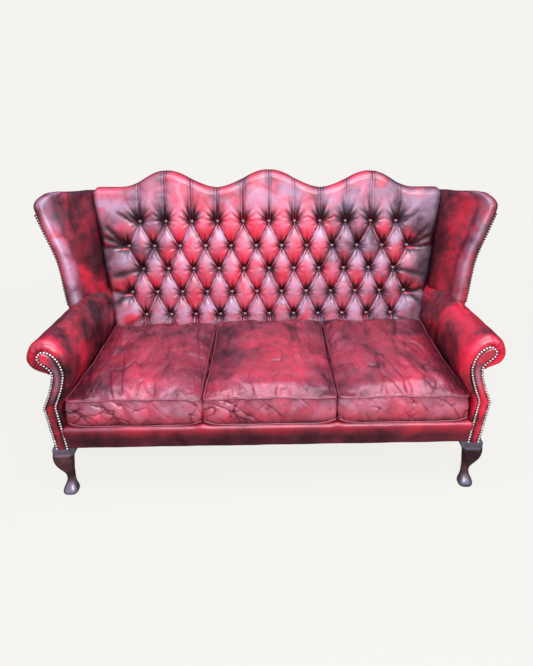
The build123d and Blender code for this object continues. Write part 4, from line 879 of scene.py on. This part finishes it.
# The wing nails: a darker copy of the same nails, painted shade, since on the wings' outer side they look dark
nail_metal_painted_shaded, tree, shader = new_material("nails_painted_shaded")
shader.inputs["Base Color"].default_value = linear("#5A4E48")
shader.inputs["Metallic"].default_value = 1.0
shader.inputs["Roughness"].default_value = 0.45
nail_tree = bpy.data.node_groups.new("upholstery_nails", "GeometryNodeTree")
for key, kind, way in (("Line", "NodeSocketGeometry", "INPUT"), ("Pitch", "NodeSocketFloat", "INPUT"),
                       ("Head", "NodeSocketFloat", "INPUT"), ("Dome", "NodeSocketFloat", "INPUT"),
                       ("Metal", "NodeSocketMaterial", "INPUT"), ("Nails", "NodeSocketGeometry", "OUTPUT")):
    nail_tree.interface.new_socket(key, in_out=way, socket_type=kind)
group_in = add(nail_tree, "NodeGroupInput")
curve = add(nail_tree, "GeometryNodeMeshToCurve", {0: group_in.outputs["Line"]})
spaced = add(nail_tree, "GeometryNodeResampleCurve", {"Curve": curve.outputs[0],
                                                      "Length": group_in.outputs["Pitch"]}, mode="LENGTH")
ball = add(nail_tree, "GeometryNodeMeshUVSphere", {"Segments": 10, "Rings": 6, "Radius": 0.5})
tall = add(nail_tree, "ShaderNodeMath", {0: group_in.outputs["Dome"], 1: 2.0}, operation="MULTIPLY")
scale = add(nail_tree, "ShaderNodeCombineXYZ", {0: group_in.outputs["Head"], 1: group_in.outputs["Head"],
                                                2: tall.outputs[0]})
dome = add(nail_tree, "GeometryNodeTransform", {"Geometry": ball.outputs[0], "Scale": scale.outputs[0]})
smoothed = add(nail_tree, "GeometryNodeSetShadeSmooth", {"Geometry": dome.outputs[0]})
facing_way = add(nail_tree, "GeometryNodeInputNamedAttribute", {"Name": "outward"}, data_type="FLOAT_VECTOR")
tilt = add(nail_tree, "FunctionNodeRandomValue", {"Min": (-0.12,) * 3, "Max": (0.12,) * 3, "Seed": 5},
           data_type="FLOAT_VECTOR")
leaning = add(nail_tree, "ShaderNodeVectorMath", {0: facing_way.outputs[0], 1: tilt.outputs[0]}, operation="ADD")
turned = add(nail_tree, "FunctionNodeAlignRotationToVector", {"Vector": leaning.outputs[0]}, axis="Z")
placed = add(nail_tree, "GeometryNodeInstanceOnPoints", {
    "Points": spaced.outputs[0], "Instance": smoothed.outputs[0], "Rotation": turned.outputs[0]})
real = add(nail_tree, "GeometryNodeRealizeInstances", {0: placed.outputs[0]})
plated = add(nail_tree, "GeometryNodeSetMaterial", {"Geometry": real.outputs[0],
                                                    "Material": group_in.outputs["Metal"]})
add(nail_tree, "NodeGroupOutput", {0: plated.outputs[0]})
outline = np.concatenate([inner_edge, outer_edge[::-1]])
along = np.gradient(outline, axis=0)
along /= np.linalg.norm(along, axis=1, keepdims=True)
nail_line = outline + np.column_stack([along[:, 1], -along[:, 0]]) * nail_inset
nail_settings = {"Pitch": nail_pitch, "Head": nail_head, "Dome": nail_dome}
for side, name in ((-1, "left"), (1, "right")):
    arm_line_points = mirrored([(a, front - 0.0003, b) for a, b in nail_line], side)
    wing_line = wing_nail_lines[name]
    for label, line, ways, metal in (
            ("arm", arm_line_points, [(0, -1, 0)] * len(nail_line), nail_metal),
            ("wing", [a for a, _ in wing_line], [b for _, b in wing_line], nail_metal_painted_shaded)):
        nails = grown(f"{label}_nail_heads_{name}", line, nail_tree, {**nail_settings, "Metal": metal}, ways)
        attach(nails, "sofa")
        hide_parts(f"{label}_nails_{name}")


# The front rail: a padded border of hide over the seat's front rail, rolled over its top in a
# soft lip on which the cushions rest. The wash is rubbed off the lip and left on the face.
rail_section = [(0.060, 0.287), (0.020, 0.287), (0.0185, 0.2105), (0.004, 0.2103), (0.0015, 0.213),
                (0.0005, 0.230), (-0.0015, 0.255), (-0.005, 0.276), (-0.0055, 0.288), (-0.001, 0.298),
                (0.010, 0.3035), (0.024, 0.3030), (0.060, 0.3015)]
rail_stations = 161
line = spline(rail_section, 6)
foot_x = arm_inner + 0.345 * arm_width
knee_x = arm_inner + 0.46 * arm_width
half = foot_x + (knee_x - foot_x) * (line[:, 1] - leg_height) / (0.41 * arm_height) + 0.003
position = np.linspace(-1, 1, rail_stations)[:, None]
rail_x = position * half
# The lip is dragged up a little where two cushions meet
drag = sum(np.exp(-((rail_x - meet) / 0.018) ** 2) for meet in (-0.258, 0.258))
upper = np.clip((line[:, 1] - 0.27) / 0.03, 0, 1)
rail = np.stack([rail_x, front + line[:, 0] + 0 * rail_x - 0.003 * drag * upper,
                 line[:, 1] + 0.005 * drag * upper * np.clip((0.04 - line[:, 0]) / 0.03, 0, 1)], axis=-1)
rail_cover = mesh_object("front_rail_border", rail.reshape(-1, 3), tube_faces(rail_stations, len(line)), rail_hide)
outward(rail_cover)
rumple(rail_cover, 0.0012, 0.09, 31)
rubbed(rail_cover, np.tile(np.clip((line[:, 1] - 0.245) / 0.050, 0, 1) * 0.75, rail_stations))
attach(rail_cover, "sofa")
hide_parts("front_rail_cover")


# The seat cushions: three loose boxed covers filled with feather round foam, crowned and slack,
# so that the softer hide wrinkles. A band runs round each between two piped seams.
cushion_hide = rub_off_leather(
    "cushion_hide_waxed", [(0.08, "#2C0C16"), (0.3, "#571726"), (0.5, "#861F32"), (0.7, "#A8283D"),
                           (0.95, "#D62E4A")], 0.5, 0.68, 0.36, 0.5, 0.03, shift=(0.11, 0.6, 0.3), line_share=0.08)
piping_hide = rub_off_leather("piping_hide", [(0.1, "#3A0F1B"), (0.5, "#7E1E30"), (0.9, "#B5384E")], 0.3, 0.5,
                              0.34, 0.4, 0.1)
cushion_low, seam_low, seam_high, crown_height = 0.3028, 0.0055, 0.114, 0.146
cushion_fronts, cushion_rears = 0.258, 0.241
side_draw, cushion_corner, piping_radius = 0.006, 0.030, 0.0030
per_side = 56


def cushion_edge(y):
    """Boundary between the middle and the outer cushions at one depth."""
    return cushion_fronts + (cushion_rears - cushion_fronts) * y / seat_depth


def rear_stretch(y, rise):
    """How much taller a cushion is at one depth, since it rides up where the back squeezes it."""
    return 1 + rise * np.clip(y / seat_depth, 0, 1) ** 2.4 / seam_high


def beside_arm(y):
    """Inner face of the arm beside the cushions, which bulge past it at the front."""
    return 0.7565 + (0.7032 - 0.7565) * y / arm_length + 0.013 * np.exp(-(y / 0.06) ** 2)


def creased(piece, depth, across, along, slant, seed, keep):
    """Sharp winding creases in a skin, across and along it in metres, where keep is not zero."""
    data = piece.data
    places = []
    sunken = np.zeros(len(keep))
    for vertex, normal, share in zip(data.vertices, data.vertex_normals, keep):
        place = vertex.co.copy()
        if share > 0.01:
            u = (place.x + 0.2 * place.y if slant is None else place.x + place.y + slant * place.z) / across
            w = (place.y if slant is None else place.z) / along
            fold = noise.noise(Vector((u, w, seed)))
            where = noise.noise(Vector((u * 0.6, w * 0.8, seed + 9)))
            sunk = np.exp(-(fold / 0.055) ** 2) * min(max(0.35 + 2.5 * where, 0), 1) - 0.35 * abs(fold)
            place -= normal.vector * (depth * share * sunk)
            sunken[vertex.index] = share * sunk
        places.append(place)
    for vertex, place in zip(data.vertices, places):
        vertex.co = place
    data.update()
    return sunken


def cushion_outline(left, right, z, inset):
    """Rounded outline of a cushion at one height, drawn in a little along its sides."""
    near = 0.004 + inset
    far = seat_depth + (z - seam_height) * np.tan(back_lean) - 0.0015 - inset
    gap = 0.0006 + inset
    corners = np.array([(left(near) + gap, near), (right(near) - gap, near), (right(far) - gap, far),
                        (left(far) + gap, far)])
    middle = corners.mean(axis=0)
    points = []
    t = np.linspace(-1, 1, per_side + 1)[:-1]
    for k in range(4):
        a, b = corners[k], corners[(k + 1) % 4]
        length = np.linalg.norm(b - a)
        radius = cushion_corner / length * 2
        mid = (a + b) / 2
        into = (middle - mid) / np.linalg.norm(middle - mid)
        near_end = np.clip((np.abs(t) - (1 - radius)) / radius, 0, 1)
        pull = side_draw * (1 - t ** 2)
        # Towards a corner the line turns in, so that the two sides meet in a round
        turn = cushion_corner * (1 - np.sqrt(1 - near_end ** 2 / 2)) * 1.0
        points.append(mid + (b - a) / 2 * t[:, None] + into * (pull + turn)[:, None])
    return np.concatenate(points)


def coons(loop):
    """Grid of points that fills a closed outline of four equal sides."""
    n = len(loop) // 4
    low, high = loop[:n + 1], loop[2 * n:3 * n + 1][::-1]
    left, right = np.concatenate([loop[3 * n:], loop[:1]])[::-1], loop[n:2 * n + 1]
    u = np.linspace(0, 1, n + 1)[None, :, None]
    v = np.linspace(0, 1, n + 1)[:, None, None]
    corners = ((1 - u) * (1 - v) * low[0] + u * (1 - v) * low[-1] + (1 - u) * v * high[0] + u * v * high[-1])
    return (1 - v) * low[None] + v * high[None] + (1 - u) * left[:, None] + u * right[:, None] - corners


# Creases in each cushion's top: two ends as shares of its width and depth, depth and half width
cushion_creases = {
    "left": [((0.62, 0.97), (0.30, 0.62), 0.006, 0.030), ((0.30, 0.80), (0.18, 0.35), 0.006, 0.022),
             ((0.52, 0.78), (0.45, 0.30), 0.005, 0.022), ((0.72, 0.62), (0.60, 0.22), 0.004, 0.018),
             ((0.90, 0.60), (0.62, 0.50), 0.004, 0.020), ((0.88, 0.38), (0.70, 0.30), 0.003, 0.015),
             ((0.20, 0.55), (0.08, 0.20), 0.004, 0.018)],
    "centre": [((0.80, 0.55), (0.62, 0.30), 0.003, 0.030), ((0.90, 0.28), (0.70, 0.20), 0.003, 0.018),
               ((0.10, 0.20), (0.30, 0.06), 0.003, 0.014), ((0.06, 0.80), (0.22, 0.55), 0.003, 0.020)],
    "right": [((0.42, 0.90), (0.60, 0.40), 0.006, 0.020), ((0.55, 0.70), (0.80, 0.25), 0.006, 0.020),
              ((0.66, 0.72), (0.95, 0.30), 0.005, 0.018), ((0.28, 0.52), (0.45, 0.22), 0.005, 0.020),
              ((0.50, 0.50), (0.66, 0.26), 0.004, 0.016), ((0.74, 0.95), (0.90, 0.62), 0.005, 0.018),
              ((0.20, 0.72), (0.42, 0.66), 0.003, 0.022)],
}
boxing_swell = [(seam_low, 0.0022), (0.018, 0.0005), (0.036, 0.0), (0.058, 0.0005), (0.080, 0.0016),
                (0.100, 0.0035), (seam_high, 0.0055)]
boxing_levels = [(0.0, 0.020), (0.0012, 0.012)] + [tuple(row) for row in spline(boxing_swell, 3)]
rear_rises = {"left": 0.018, "centre": 0.032, "right": 0.034}
cushion_bounds = {"left": (lambda y: -beside_arm(y), lambda y: -cushion_edge(y)),
                  "centre": (lambda y: -cushion_edge(y), cushion_edge), "right": (cushion_edge, beside_arm)}
scene = bpy.context.scene
for number, (name, (left, right)) in enumerate(cushion_bounds.items()):
    around = 4 * per_side
    loops = []
    for height, inset in boxing_levels:
        flat = cushion_outline(left, right, cushion_low + height, inset)
        ends = np.abs((np.arange(around) + per_side / 2) % per_side - per_side / 2) / per_side
        front_side = np.clip(1 - flat[:, 1] / 0.12, 0, 1)
        lift = 0.014 * np.exp(-(ends / 0.075) ** 2) * front_side * np.clip(1 - height / 0.06, 0, 1)
        # The front hangs a little over the rail's rounded lip
        middle = np.clip(1 - (ends / 0.5 - 1) ** 2, 0, 1) * np.clip(1 - flat[:, 1] / 0.03, 0, 1)
        hang = 0.007 * middle * np.clip(1 - height / 0.09, 0, 1)
        # Neither seam runs quite straight
        run = flat[:, 0] + flat[:, 1] + number
        wave = (0.0022 * np.sin(31 * run) + 0.0012 * np.sin(73 * run)) * np.clip(height / 0.03, 0.2, 1)
        tall = height * rear_stretch(flat[:, 1], rear_rises[name])
        loops.append(np.column_stack([flat[:, 0], front + flat[:, 1] - 0.8 * hang + (tall - height) * np.tan(back_lean),
                                      cushion_low + tall + lift - hang + wave]))
    seam_rings = [2, len(boxing_levels) - 1]
    top = coons(loops[-1])
    under = coons(loops[0])
    n = per_side
    u = np.linspace(0, 1, n + 1)[None, :]
    v = np.linspace(0, 1, n + 1)[:, None]
    rearward = v ** 1.35
    dome = (4 * u * (1 - u)) ** 0.42 * (4 * rearward * (1 - rearward)) ** 0.32
    top[..., 2] += (crown_height - seam_high) * dome * 0.8
    inner = [(i, j) for i in range(1, n) for j in range(1, n)]
    base = len(loops) * around
    index = {}
    for kind, ring in ((0, 0), (1, len(boxing_levels) - 1)):
        for k in range(around):
            i, j = [(0, k), (k - n, n), (n, 3 * n - k), (4 * n - k, 0)][k // n]
            index[kind, i, j] = ring * around + k
    extra = []
    for kind, grid in ((0, under), (1, top)):
        for i, j in inner:
            index[kind, i, j] = base + len(extra)
            extra.append(grid[i, j])
    points = np.concatenate(loops + [np.array(extra)])
    faces = []
    for r in range(len(boxing_levels) - 1):
        for k in range(around):
            m = (k + 1) % around
            faces.append((r * around + k, r * around + m, (r + 1) * around + m, (r + 1) * around + k))
    for i in range(n):
        for j in range(n):
            quad = [(i, j), (i, j + 1), (i + 1, j + 1), (i + 1, j)]
            faces.append(tuple(index[(1,) + q] for q in quad))
            faces.append(tuple(index[(0,) + q] for q in quad)[::-1])
    cushion = mesh_object(f"seat_cushion_cover_{name}", points, faces, cushion_hide)
    outward(cushion)
    held = cushion.vertex_groups.new(name="held")
    fixed = [ring * around + k for ring in (0, 1, 2, len(boxing_levels) - 1) for k in range(around)]
    fixed += [index[0, i, j] for i, j in inner]
    held.add(fixed, 1.0, "REPLACE")
    cloth = cushion.modifiers.new("cloth", "CLOTH")
    cloth.settings.use_pressure = True
    cloth.settings.uniform_pressure_force = 4.0
    cloth.settings.vertex_group_mass = "held"
    cloth.settings.shrink_min = -0.018
    cloth.settings.tension_stiffness = 25
    cloth.settings.compression_stiffness = 25
    cloth.settings.shear_stiffness = 8
    cloth.settings.bending_stiffness = 0.4
    cloth.settings.effector_weights.gravity = 0
    cloth.settings.quality = 6
    for step in range(1, 21):
        scene.frame_set(step)
    ready = cushion.evaluated_get(bpy.context.evaluated_depsgraph_get())
    moved = np.empty(len(points) * 3)
    ready.data.vertices.foreach_get("co", moved)
    moved = moved.reshape(-1, 3)
    change = moved - points
    far = np.linalg.norm(change, axis=1, keepdims=True)
    points = points + change * np.minimum(1, 0.016 / np.maximum(far, 1e-9))
    cushion.modifiers.remove(cloth)
    cushion.data.vertices.foreach_set("co", points.ravel())
    cushion.data.update()
    scene.frame_set(1)
    # Creases and hollows of use on the crown
    lows, highs = points[:, 0].min(), points[:, 0].max()
    share_x = (points[:, 0] - lows) / (highs - lows)
    share_y = (points[:, 1] - points[:, 1].min()) / (points[:, 1].max() - points[:, 1].min())
    level = (points[:, 2] - cushion_low) / rear_stretch(points[:, 1] - front, rear_rises[name])
    on_top = np.clip((level - seam_high) / 0.012, 0, 1)
    sinking = np.zeros(len(points))
    for (x0, y0), (x1, y1), deep, wide in cushion_creases[name]:
        dx, dy = (x1 - x0) * 0.5, (y1 - y0) * 0.57
        px, py = (share_x - x0) * 0.5, (share_y - y0) * 0.57
        part = np.clip((px * dx + py * dy) / (dx * dx + dy * dy), 0, 1)
        bend = 0.018 * np.sin(part * pi)
        off = (px * dy - py * dx) / hypot(dx, dy) + bend
        beyond = np.hypot(px - part * dx, py - part * dy)
        fade = np.sin(pi * np.clip(part, 0.02, 0.98)) ** 0.6 * np.exp(-np.maximum(beyond - np.abs(off), 0) / 0.02)
        sinking += deep * fade * (np.exp(-(off / (wide * 0.35)) ** 2) - 0.6 * np.exp(-((off - wide * 0.7) / wide) ** 2))
    points[:, 2] -= sinking * on_top
    cushion.data.vertices.foreach_set("co", points.ravel())
    cushion.data.update()
    finer = cushion.modifiers.new("finer", "SUBSURF")
    finer.levels = finer.render_levels = 1
    ready = cushion.evaluated_get(bpy.context.evaluated_depsgraph_get())
    fine = bpy.data.meshes.new_from_object(ready)
    cushion.modifiers.remove(finer)
    cushion.vertex_groups.clear()
    cushion.data = fine
    rumple(cushion, 0.0016, 0.05, 41 + number)
    place_now = np.empty(len(fine.vertices) * 3)
    fine.vertices.foreach_get("co", place_now)
    height = (place_now[2::3] - cushion_low) / rear_stretch(place_now[1::3] - front, rear_rises[name])
    on_crown = np.clip((height - seam_high - 0.003) / 0.012, 0, 1)
    between = np.clip((height - seam_low) / (seam_high - seam_low), 0, 1)
    on_band = np.sin(pi * between) ** 0.7
    wash_left = 0.6 * creased(cushion, 0.0055, 0.060, 0.17, None, 61.5 + number, on_crown)
    wash_left += 0.4 * creased(cushion, 0.0028, 0.030, 0.085, None, 64.5 + number, on_crown)
    wash_left += creased(cushion, 0.0090, 0.034, 0.075, 0.9, 71.5 + number, on_band)
    wash_left += creased(cushion, 0.0070, 0.050, 0.060, -0.8, 81.5 + number, on_band)
    # The wash is worn off most where people sit; the hide is darker towards the rear, the sides and the bottom edge
    fine_x = (place_now[0::3] - lows) / (highs - lows)
    fine_y = (place_now[1::3] - front) / seat_depth
    sat_on = [0.20, 0.50, 0.05][number] * np.exp(-((fine_x - 0.62) / 0.30) ** 2 - ((fine_y - 0.35) / 0.30) ** 2)
    hem = np.exp(-np.minimum(fine_x, 1 - fine_x) / 0.07) + np.clip((fine_y - 0.55) / 0.4, 0, 1)
    rubbed(cushion, 0.58 + sat_on - 0.35 * hem - 0.6 * wash_left + 0.3 * on_band - 0.5 * np.exp(-(height / 0.02) ** 2))
    # A painted sheen of reflected sky on the upper part of the band, less in its creases
    rubbed(cushion, np.clip(0.55 * on_band * between ** 1.5 - 0.4 * wash_left, 0, 1), "sheen_paint")
    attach(cushion, f"cushion_{name}")
    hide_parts(f"seat_cushion_{name}")
    rings, ring_faces = [], []
    for ring in seam_rings:
        path = points[ring * around:(ring + 1) * around].copy()
        ahead = np.roll(path, -1, axis=0) - np.roll(path, 1, axis=0)
        ahead /= np.linalg.norm(ahead, axis=1, keepdims=True)
        out = np.cross(ahead, (0, 0, 1))
        out /= np.linalg.norm(out, axis=1, keepdims=True)
        up = np.cross(out, ahead)
        path = path + out * 0.0022
        base = sum(len(r) for r in rings)
        angles = np.linspace(0, 2 * pi, 9)[:-1]
        tube = path[:, None] + piping_radius * (np.cos(angles)[None, :, None] * out[:, None]
                                                + np.sin(angles)[None, :, None] * up[:, None])
        rings.append(tube.reshape(-1, 3))
        for k in range(around):
            m = (k + 1) % around
            for q in range(8):
                p = (q + 1) % 8
                ring_faces.append((base + k * 8 + q, base + k * 8 + p, base + m * 8 + p, base + m * 8 + q))
    welt = mesh_object(f"cushion_welts_{name}", np.concatenate(rings), ring_faces, piping_hide)
    outward(welt)
    rubbed(welt, 0.7)
    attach(welt, f"cushion_{name}")
    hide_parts(f"cushion_piping_{name}")
